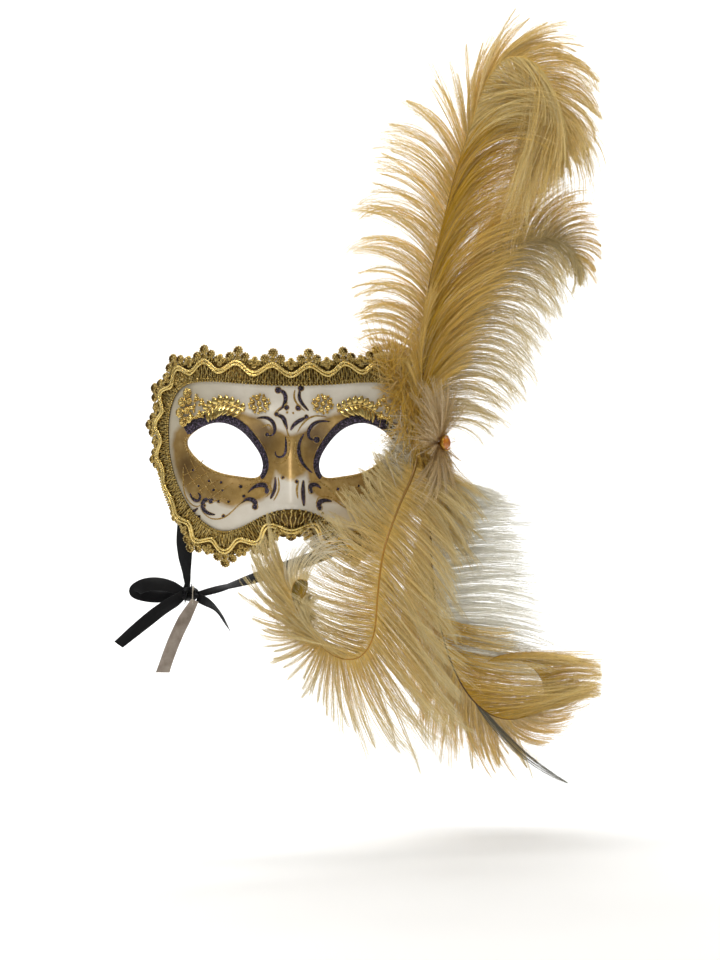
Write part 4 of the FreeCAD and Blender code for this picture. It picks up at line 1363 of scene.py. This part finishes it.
class Field(Look):
    """Barbs along one side of a shaft.  Each station is (share of the shaft,
    barb length, heading at the barb's foot, heading at its tip), the headings
    in degrees from +X towards +Z; lean is towards -Y."""

    def __init__(self, stations, count, root_tint, tip_tint, lean=0.0, spread=8.0, clump=7, pull=0.6,
                 wander=7.0, **look):
        super().__init__(root_tint, tip_tint, **look)
        self.stations = np.array(stations, float)
        self.count = count
        self.lean, self.spread = lean, spread
        self.clump, self.pull, self.wander = clump, pull, wander


FRONT_AXES = np.array([(1.0, 0.0, 0.0), (0.0, 0.0, 1.0), (0.0, -1.0, 0.0)])


def walked(start, turn, rise, length, axes=FRONT_AXES):
    """Lines that leave their starts with a step for each column of turn and rise:
    turn goes from the first axis to the second, and rise towards the third."""
    ahead = np.stack([np.cos(turn) * np.cos(rise), np.sin(turn) * np.cos(rise), np.sin(rise)], -1)
    step = ahead @ axes * (length / turn.shape[1])[:, None, None]
    return np.concatenate([start[:, None], start[:, None] + np.cumsum(step, axis=1)], axis=1)


def step_middles(steps):
    return (np.arange(steps) + 0.5) / steps


CAD_LOW, CAD_HIGH = np.array(cad_low) / MM, np.array(cad_high) / MM
ROOM = 0.03 * (CAD_HIGH - CAD_LOW) + 7.0

def kept_near(lines):
    """Shortens each barb that would reach further past the CAD box than ROOM."""
    start = lines[:, :1]
    ahead = np.maximum((lines - start).max(axis=1), 1e-6)
    behind = np.minimum((lines - start).min(axis=1), -1e-6)
    share = np.minimum((CAD_HIGH + ROOM - start[:, 0]) / ahead, (CAD_LOW - ROOM - start[:, 0]) / behind)
    return start + (lines - start) * np.clip(share.min(axis=1), 0.05, 1.0)[:, None, None]


def barb_lines(shaft, field, rng, steps=10):
    """Centre lines of a field's barbs, (count, steps + 1, 3)."""
    n = field.count
    low, high = field.stations[0, 0], field.stations[-1, 0]
    share = low + (high - low) * (np.arange(n) + rng.uniform(0, 1, n)) / n
    length, foot, tip = (np.interp(share, field.stations[:, 0], c) for c in field.stations.T[1:])
    group = np.arange(n) // field.clump
    groups = group[-1] + 1
    length = length * (1 + 0.1 * rng.normal(size=n)) * (1 + 0.1 * rng.normal(size=groups)[group])
    foot = foot + 2.5 * rng.normal(size=n)
    tip = tip + field.wander * rng.normal(size=groups)[group] + 5.0 * rng.normal(size=n)
    lean = field.lean + field.spread * (0.5 * rng.normal(size=n) + 0.8 * rng.normal(size=groups)[group])
    sway = 0.8 * field.spread * rng.normal(size=groups)[group]
    u = step_middles(steps)
    turn = np.radians(foot[:, None] + (tip - foot)[:, None] * u ** 1.25)
    rise = np.radians(lean[:, None] * (1 - 0.5 * u) + sway[:, None] * u ** 2)
    lines = walked(shaft.place(share), turn, rise, length)
    sums = np.zeros((groups,) + lines.shape[1:])
    np.add.at(sums, group, lines)
    mean = sums / np.bincount(group)[:, None, None]
    reach = np.linspace(0, 1, steps + 1)[None, :, None]
    pull = field.pull * (0.7 + 0.5 * rng.uniform(size=groups))[group][:, None, None]
    return kept_near(lines + (mean[group] - lines) * np.clip(pull, 0, 0.95) * reach ** 1.8), length


def barb_strips(lines, width, tints, rng):
    """Tapered flat strips along the lines, each rolled at random."""
    n, m, _ = lines.shape
    along = unit(np.gradient(lines, axis=1))
    side = unit(np.cross(along, [0.0, -1.0, 0.0]))
    out = np.cross(side, along)
    roll = rng.uniform(-1.0, 1.0, n)[:, None, None]
    across = np.cos(roll) * side + np.sin(roll) * out
    u = np.linspace(0, 1, m)[None, :, None]
    half = across * (width / 2) * (1 - 0.72 * u)
    points = np.stack([lines - half, lines + half], axis=2)
    k = np.arange(n)[:, None] * (2 * m) + 2 * np.arange(m - 1)[None]
    faces = np.stack([k, k + 1, k + 3, k + 2], -1).reshape(-1, 4)
    return points.reshape(-1, 3), faces, np.repeat(tints, 2, axis=1).reshape(-1, 3)


def barbules(lines, length, look, tints, rng):
    """Fine down on both sides of each barb, a thin triangle per barbule."""
    n, m, _ = lines.shape
    per_barb = int(length.mean() / look.spacing)
    u = (np.arange(per_barb) + rng.uniform(0, 1, (n, per_barb))) / per_barb * 0.93 + 0.05
    at = u * (m - 1)
    k = np.minimum(at.astype(int), m - 2)
    part = (at - k)[..., None]
    row = np.arange(n)[:, None]
    base = lines[row, k] * (1 - part) + lines[row, k + 1] * part
    along = unit(lines[row, k + 1] - lines[row, k])
    side = unit(np.cross(along, [0.0, -1.0, 0.0]))
    out = np.cross(side, along)
    roll = rng.uniform(-0.95, 0.95, u.shape) + np.pi * rng.integers(0, 2, u.shape)
    across = np.cos(roll)[..., None] * side + np.sin(roll)[..., None] * out
    slant = rng.uniform(0.5, 1.15, u.shape)[..., None]
    size = (look.down * (1.1 - 0.6 * u) * rng.uniform(0.7, 1.25, u.shape))[..., None]
    tip = base + size * (np.sin(slant) * across + np.cos(slant) * along)
    foot = along * BARBULE_FOOT
    points = np.stack([base - foot, base + foot, tip], axis=2).reshape(-1, 3)
    faces = np.arange(len(points)).reshape(-1, 3)
    shade = tints[row, k] * rng.uniform(0.94, 1.1, u.shape)[..., None]
    return points, faces, np.repeat(shade, 3, axis=1).reshape(-1, 3)


def plume_piece(name, lines, length, look, body, slot, nodes, rng):
    """One mesh of barbs with their down."""
    n, m, _ = lines.shape
    u = np.linspace(0, 1, m)[None, :, None]
    tone = rng.uniform(0.76, 1.04, (n, 1, 1))
    tints = (look.root_tint + (look.tip_tint - look.root_tint) * u ** 0.75) * tone
    tints = tints + (np.array(WHITISH) - tints) * 0.25 * rng.uniform(0, 1, (n, 1, 1)) ** 3
    heap = Heap()
    for points, faces, shades in (barb_strips(lines, look.width, tints, rng),
                                  barbules(lines, length, look, tints, rng)):
        heap.add(points, faces, tint=shades)
    return finished(heap, name, slot, *nodes, body=body, smooth=False)


def grow(name, shaft, fields, rng):
    """All barbs of a plume, in pieces of a limited number of triangles."""
    pieces = []
    for number, field in enumerate(fields):
        lines, length = barb_lines(shaft, field, rng)
        per_barb = 2 * (lines.shape[1] - 1) + int(length.mean() / field.spacing)
        parts = math.ceil(len(lines) * per_barb / MAX_TRIANGLES)
        for part in range(parts):
            chosen = slice(part * len(lines) // parts, (part + 1) * len(lines) // parts)
            label = "%s_barbs_%d_%d" % (name, number + 1, part + 1)
            pieces.append(plume_piece(label, lines[chosen], length[chosen], field, name, "plume_barbs",
                                      (), rng))
    return pieces


def shaft_piece(name, root_tint, tip_tint, turning):
    """The plume's tapered horn shaft, flat-sided."""
    share = np.linspace(0, 1, 260)
    path = SHAFTS[name].place(share)
    radius = np.interp(share, [0, 0.06, 0.2, 0.6, 1.0], [1.2, 1.15, 0.8, 0.5, 0.22])
    points, *faces = tube(path, radius, 10, flatten=0.85)
    u = np.concatenate([np.repeat(share, 10), [0, 1]])[:, None]
    root_tint, tip_tint = np.array(root_tint), np.array(tip_tint)
    heap = Heap()
    heap.add(points, *faces, tint=root_tint + (tip_tint - root_tint) * np.clip((u - turning) * 8, 0, 1))
    finished(heap, name + "_shaft", "quill", name + "_quill", body=name)


TALL = [
    Field([(0.04, 30, 130, 205), (0.15, 48, 128, 208), (0.28, 58, 125, 208), (0.40, 64, 122, 198),
           (0.50, 62, 116, 176), (0.56, 56, 108, 130), (0.61, 58, 90, 68), (0.66, 62, 74, 44),
           (0.71, 60, 58, 20), (0.76, 52, 42, -28), (0.82, 46, 16, -62), (0.88, 40, -12, -78),
           (0.94, 34, -42, -86), (1.0, 22, -80, -95)],
          1400, STRAW, CREAM, down=2.4, spacing=0.86, clump=12, pull=0.8, wander=16.0),
    Field([(0.04, 45, 66, 22), (0.15, 80, 62, 16), (0.28, 92, 66, 10), (0.40, 92, 64, -5),
           (0.50, 88, 60, -30), (0.58, 84, 52, -58)],
          1150, MUSTARD, STRAW, clump=6, pull=0.45),
    Field([(0.52, 90, 54, -48), (0.60, 96, 36, -72), (0.66, 100, 8, -88), (0.72, 108, -38, -102),
           (0.80, 98, -88, -108), (0.88, 82, -112, -108), (0.95, 54, -112, -100), (1.0, 24, -95, -95)],
          900, STRAW, CREAM, clump=6, pull=0.45),
    Field([(0.06, 40, 78, 52), (0.25, 62, 78, 47), (0.45, 60, 74, 37), (0.55, 44, 68, 22)],
          480, MUSTARD, MUSTARD, lean=6.0, down=1.5, clump=5, pull=0.4, wander=5.0),
    Field([(0.54, 66, 62, -12), (0.62, 64, 40, -50), (0.70, 60, 0, -78), (0.78, 56, -50, -92),
           (0.88, 48, -80, -96), (0.96, 34, -88, -98)],
          420, CREAM, CREAM, lean=14.0, clump=6, pull=0.5, wander=8.0),
    Field([(0.05, 32, 118, 128), (0.12, 36, 100, 72), (0.2, 34, 84, 60)],
          260, MUSTARD, STRAW, lean=20.0, spread=9.0, down=2.0, clump=6, pull=0.5, wander=14.0),
]
REAR = [
    Field([(0.03, 44, 20, -40), (0.2, 62, 25, -60), (0.4, 64, 25, -65), (0.6, 54, 20, -70),
           (0.8, 40, 0, -85), (1.0, 24, -60, -95)],
          950, GREY_CREAM, PALE, down=2.3, clump=8, pull=0.55, wander=10.0),
    Field([(0.03, 40, 92, 60), (0.3, 66, 94, 52), (0.55, 74, 92, 44), (0.75, 60, 84, 30), (0.9, 34, 50, -20),
           (1.0, 20, -30, -80)],
          1000, GREY_CREAM, STRAW, down=2.3, clump=8, pull=0.5, wander=9.0),
]
FRONT = [
    Field([(0.05, 24, 152, 126), (0.15, 30, 142, 118), (0.24, 34, 143, 120), (0.33, 42, 150, 128),
           (0.42, 52, 164, 134), (0.52, 56, 172, 140), (0.59, 56, 170, 142), (0.65, 50, 156, 136),
           (0.70, 42, 142, 128), (0.77, 30, 124, 100), (0.83, 20, 92, 60), (0.90, 12, 60, 30)],
          1150, STRAW, PALE, lean=7.0, spacing=0.86, clump=9, pull=0.7, wander=14.0),
    Field([(0.05, 40, -20, -70), (0.15, 55, -32, -75), (0.24, 62, -40, -70), (0.33, 66, -45, -63),
           (0.42, 74, -48, -58), (0.52, 84, -50, -50), (0.59, 86, -55, -48), (0.65, 72, -68, -52),
           (0.70, 48, -85, -62), (0.75, 28, -110, -104), (0.79, 28, -150, -180), (0.84, 36, -184, -228),
           (0.88, 42, -204, -250), (0.92, 44, -220, -262), (0.96, 40, -236, -268)],
          1450, STRAW, PALE, lean=3.0, clump=10, pull=0.75, wander=12.0),
    Field([(0.74, 30, 168, 146), (0.82, 40, 146, 116), (0.90, 44, 124, 104), (0.95, 38, 112, 100)],
          170, STRAW, PALE, lean=5.0, spread=5.0, down=1.7, clump=9, pull=0.8, wander=6.0),
    Field([(0.84, 9, 40, -20), (0.90, 13, 0, -55), (0.95, 13, -40, -95), (1.0, 9, -80, -130)],
          240, OLIVE, MUSTARD, lean=4.0, spread=4.0, down=1.4, spacing=0.6, clump=5, pull=0.4, wander=6.0),
    Field([(0.93, 28, 118, 60), (0.96, 34, 98, 10), (1.0, 38, 78, -25)],
          90, CREAM, WHITISH, lean=9.0, spread=5.0, width=0.36, down=0.8, spacing=0.6, clump=2, pull=0.2,
          wander=10.0),
]
SIDE = [
    Field([(0.09, 40, -106, -92), (0.18, 58, -120, -88), (0.3, 66, -120, -86), (0.45, 60, -115, -88),
           (0.55, 46, -104, -80), (0.62, 38, -85, -58), (0.70, 34, -42, 5), (0.78, 34, 5, 40)],
          1000, BEIGE, STRAW, lean=2.0, spread=6.0, clump=8, wander=8.0),
    Field([(0.02, 36, -30, -48), (0.08, 48, 10, -20), (0.15, 60, 16, -6), (0.3, 70, 12, -10),
           (0.42, 74, -2, -20), (0.5, 68, -10, -14)],
          1100, WHITISH, WHITISH, lean=-2.0, spread=6.0, pull=0.5, wander=5.0),
    Field([(0.38, 50, -24, 4), (0.5, 70, -20, 8), (0.58, 74, -4, 14), (0.65, 66, 8, 28), (0.72, 52, 25, 20),
           (0.8, 42, 20, -5), (0.9, 50, 8, -14), (1.0, 50, 2, -12)],
          1000, MUSTARD, CREAM, lean=4.0, spread=6.0, pull=0.5, wander=6.0),
    Field([(0.42, 34, -104, -84), (0.52, 44, -98, -78), (0.62, 46, -86, -68), (0.70, 42, -66, -50)],
          260, STRAW, PALE, spread=6.0, down=1.7, clump=16, pull=0.95, wander=14.0),
    Field([(0.60, 84, -56, -26), (0.64, 90, -50, -22)],
          22, SLATE, SLATE, lean=9.0, spread=2.0, down=1.0, spacing=0.8, clump=40, pull=0.95, wander=1.0),
    Field([(0.02, 40, -14, -52), (0.08, 44, -20, -58), (0.16, 40, -34, -60)],
          240, STRAW, PALE, lean=12.0, spread=9.0, down=2.0, clump=8, wander=14.0),
]
# Each plume's barbs, its shaft's tints and the share where the tint turns.
PLUMES = {
    "tall_plume": (TALL, dye(126, 88, 32), STRAW, 0.52),
    "rear_plume": (REAR, BRONZE, GREY_CREAM, 0.2),
    "front_plume": (FRONT, BRONZE, dye(190, 138, 48), 0.2),
    "side_plume": (SIDE, UMBER, BRONZE, 0.6),
}
for order, (name, (fields, root_tint, tip_tint, turning)) in enumerate(PLUMES.items()):
    made = grow(name, SHAFTS[name], fields, np.random.default_rng(SEED + order))
    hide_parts(name + "_vane")
    shaft_piece(name, root_tint, tip_tint, turning)


WIRE_TURNS, WIRE_SPAN, WIRE_REACH, WIRE_RADIUS = 5, 2.6, 1.62, 0.3


def quill_binding():
    """Fine wire wound round each quill's root."""
    heap = Heap()
    for name, root in ROOTS.items():
        heading = unit(np.array(ROUTES[name][0], float) - root)
        side = unit(np.cross(heading, [0.2, 1.0, 0.1]))
        other = np.cross(heading, side)
        turn = np.linspace(0, WIRE_TURNS * 2 * np.pi, 200)
        climb = (turn[:, None] / turn[-1] - 0.5) * WIRE_SPAN
        coil = circle(root + heading * climb, side * WIRE_REACH, other * WIRE_REACH, turn)
        heap.add(*tube(coil, WIRE_RADIUS, 7, heading))
    finished(heap, "quill_binding_wire", "binding_wire", "quill_binding")


PAD_RADIUS, PAD_HALF, PAD_MIDDLE = 13.0, 1.3, 3.6


def plume_pad():
    """Round felt pad under the quills, with a soft uneven edge."""
    turns, rings = 72, 14
    angle = spokes(turns)
    reach = np.linspace(0.02, 1, rings)[:, None]
    edge = PAD_RADIUS * (1 + 0.02 * np.sin(5 * angle) + 0.015 * np.sin(11 * angle + 1))
    s = CLUSTER[0] + reach * edge * np.cos(angle)
    z = CLUSTER[1] + reach * edge * np.sin(angle)
    rim = np.sqrt(np.clip(1 - reach ** 10, 0, 1)) * np.ones_like(s)
    heap = Heap()
    for side in (1, -1):
        heap.add(off_face(s, z, PAD_MIDDLE + side * PAD_HALF * rim),
                 grid_faces(rings, turns, True)[:, ::side], np.arange(turns)[None, ::side])
    finished(heap, "plume_pad_felt", "felt", "plume_pad")


GEM_FACING = np.array([0.8, -0.6, 0.0])
GEM_STAND = 24.0
GEM_FOOT = cluster_point(0.0, CLUSTER[1], 0.0) + GEM_FACING * GEM_STAND
GEM_SIDE = unit(np.cross([0, 0, 1.0], GEM_FACING))
UPWARD = np.array([0, 0, 1.0])


def around_gem(radius, turn, height):
    """Point at a radius and turn round the gem's axis, height along it."""
    radius, turn, height = np.broadcast_arrays(radius, turn, height)
    return (GEM_FOOT + GEM_FACING * height[..., None] + (radius * np.cos(turn))[..., None] * GEM_SIDE
            + (radius * np.sin(turn))[..., None] * UPWARD)


def turned_on_axis(heap, profile, count, twist=0.0):
    """Rings round the gem's axis, as (radius, height), closed at both ends."""
    rings = [around_gem(r, spokes(count) + (k % 2) * twist, h) for k, (r, h) in enumerate(profile)]
    end = np.arange(count)
    heap.add(rings, grid_faces(len(profile), count, True),
             (end + count * (len(profile) - 1))[None], end[None, ::-1])


def gem_and_setting():
    """Brilliant-cut stone, its beaded cup and its stem."""
    stone, cup = Heap(), Heap()
    turned_on_axis(stone, [(0.6, 0.8), (4.0, 1.7), (4.6, 2.0), (4.6, 2.4), (3.3, 3.7), (2.2, 4.3)],
                   12, np.pi / 12)
    turned_on_axis(cup, [(1.0, -17.6), (1.0, -1.4), (2.6, -1.0), (4.4, -0.6), (5.2, 0.2), (5.3, 2.0),
                         (5.1, 2.4), (4.8, 2.2), (4.7, 1.0), (0.4, 0.6)], 40)
    for angle in spokes(24):
        add_ball(cup, around_gem(5.0, angle, 2.3), 0.45, BALL_ROUGH)
    finished(stone, "gem_stone", "amber_glass", "gem", smooth=False)
    finished(cup, "gem_setting_cup", "gold_metal", "gem_setting")


def hackle_spray(rng):
    """Slim hackles that burst from behind the gem, mostly up and down."""
    count = 460
    lobe = rng.choice([92.0, -92.0, -35.0, 160.0], count, p=[0.42, 0.40, 0.08, 0.10])
    turn = np.radians(lobe + 18.0 * rng.normal(size=count))
    length = rng.uniform(22, 46, count) * np.where((np.abs(lobe) > 60) & (np.abs(lobe) < 120), 1.0, 0.7)
    curl = rng.normal(size=count) * 0.35
    tilt = rng.uniform(-0.1, 0.5, count)
    u = step_middles(12)
    start = around_gem(2.2, turn, rng.uniform(-5.5, -2.5, count))
    lines = walked(start, turn[:, None] + curl[:, None] * u, tilt[:, None] - 0.5 * u, length,
                   np.array([GEM_SIDE, UPWARD, GEM_FACING]))
    look = Look(dye(196, 154, 84), dye(226, 200, 150), width=0.55, down=2.4, spacing=0.35)
    plume_piece("hackle_spray_feathers", lines, length, look, "mask", "hackle", ["hackle_spray"], rng)


# A patch of down: how many barbs, its middle and scatter (round the face, up),
# heights off the face, heading and wander in degrees from +X towards +Z, lengths.
Tuft = namedtuple("Tuft", "count middle scatter heights heading wander lengths")


def tuft_lines(tuft, rng):
    count = tuft.count
    s = tuft.middle[0] + tuft.scatter[0] * np.clip(rng.normal(size=count), -2, 2)
    z = tuft.middle[1] + tuft.scatter[1] * np.clip(rng.normal(size=count), -2, 2)
    start = off_face(s, z, rng.uniform(*tuft.heights, count))
    heading = np.radians(tuft.heading + tuft.wander * rng.normal(size=count))
    length = rng.uniform(*tuft.lengths, count)
    u = step_middles(9)
    turn = heading[:, None] + rng.normal(size=count)[:, None] * 0.5 * u
    rise = rng.uniform(-0.1, 0.45, count)[:, None] - 0.35 * u
    return walked(start, turn, rise, length), length


GOLDEN_TUFTS = [
    Tuft(220, (70, 50), (6.5, 6), (2.5, 6.0), 122, 34, (18, 38)),
    Tuft(240, (77, 40), (6, 8), (2.5, 7.0), 214, 38, (16, 34)),
    Tuft(200, (82, 24), (6, 8), (4.0, 9.0), 236, 34, (14, 30)),
    Tuft(360, (90, 6), (7, 9), (5.5, 10.0), 266, 34, (14, 30)),
    Tuft(240, (88, 12), (6, 8), (5.5, 10.0), 92, 26, (16, 32)),
    Tuft(280, (94, -14), (7, 8), (5.5, 10.0), 268, 24, (16, 34)),
]
PALE_TUFTS = [
    Tuft(170, (78, 4), (4, 8), (5.0, 9.0), 190, 34, (9, 18)),
    Tuft(260, (74, -16), (5, 9), (5.0, 9.0), 168, 30, (10, 22)),
]


def base_down(name, tufts, root_tint, tip_tint, order, *nodes):
    """Down that covers the plumes' feet, the pad and the braid's corner."""
    rng = np.random.default_rng(SEED + order)
    lines, length = (np.concatenate(part) for part in zip(*[tuft_lines(tuft, rng) for tuft in tufts]))
    look = Look(root_tint, tip_tint, down=1.7, spacing=0.6)
    plume_piece(name, lines, length, look, "mask", "gold_down", nodes, rng)


quill_binding()
plume_pad()
gem_and_setting()
hackle_spray(np.random.default_rng(SEED + 10))
base_down("base_fluff_down", GOLDEN_TUFTS, dye(208, 158, 42), dye(242, 204, 100), 11, "base_fluff")
base_down("base_fluff_pale", PALE_TUFTS, GREY_CREAM, WHITISH, 12)


# ------------------------------------------------------------ camera, stage
AIM = Vector((0.0455, 0.0, -0.023))
AZIMUTH = math.radians(-4.0)
DISTANCE = 0.9
LENS = 51.1
camera_data = bpy.data.cameras.new("camera")
camera_data.lens = LENS
camera_data.clip_start = 0.01
camera = bpy.data.objects.new("camera", camera_data)
camera.location = AIM + Vector((math.sin(AZIMUTH), -math.cos(AZIMUTH), 0.0)) * DISTANCE
camera.rotation_euler = (math.radians(90.0), 0.0, AZIMUTH)
bpy.context.scene.collection.objects.link(camera)
bpy.context.scene.camera = camera


def backdrop():
    """Pale floor that curves up into a wall behind."""
    turn = np.linspace(-np.pi / 2, 0, 24)
    front, back, floor_z, radius, top, half_width = -3.0, 2.0, -0.262, 0.8, 3.2, 4.0
    profile = [(front, floor_z)]
    profile += [(back + radius * math.cos(a), floor_z + radius + radius * math.sin(a)) for a in turn]
    profile += [(back + radius, top)]
    points = np.array([[(x, y, z) for x in (-half_width, half_width)] for y, z in profile]) / MM
    paper = Finish("backdrop_paper", Roughness=0.9, Specular_IOR_Level=0.1)
    paper.drive("Base Color", paper.ramp(paper.noise(3.0, 3.0), (0.3, colour(243, 243, 242)),
                                         (0.7, colour(250, 250, 249))))
    sheet = mesh_object("backdrop", points.reshape(-1, 3), [grid_faces(len(profile), 2)], paper.material)


# Name, place, target, size, power and tint of each soft light.
LIGHTS = [
    ("floor", (0.0, 0.35, 1.8), (0.0, 0.9, 0.0), (3.0, 0.6), 26.0, PLAIN),
    ("key", (-0.35, -0.95, 1.2), (0.03, 0, 0), (0.4, 0.4), 8.0, (1.0, 0.95, 0.86)),
    ("fill", (1.3, -0.9, 0.3), (0.05, 0, 0), (0.7, 1.0), 0.8, (1.0, 0.98, 0.95)),
    ("top", (0.1, 0.1, 1.5), (0.05, 0.1, 0), (1.0, 0.6), 1.6, PLAIN),
    ("wall", (0.0, 1.3, 2.3), (0.0, 2.7, 0.4), (4.5, 0.8), 90.0, PLAIN),
]


def soft_light(name, place, target, size, power, tint):
    data = bpy.data.lights.new(name, "AREA")
    data.shape = "RECTANGLE"
    data.size, data.size_y = size
    data.energy = power
    data.color = tint
    lamp = bpy.data.objects.new(name, data)
    lamp.location = place
    lamp.rotation_euler = (Vector(target) - Vector(place)).to_track_quat("-Z", "Y").to_euler()
    bpy.context.scene.collection.objects.link(lamp)


def studio():
    world = bpy.data.worlds.new("studio")
    bpy.context.scene.world = world
    world.use_nodes = True
    light = world.node_tree.nodes["Background"].inputs
    light["Color"].default_value = (0.95, 0.97, 1.0, 1.0)
    light["Strength"].default_value = 0.2
    for light in LIGHTS:
        soft_light(*light)
    bpy.context.scene.view_settings.view_transform = "Standard"


backdrop()
studio()
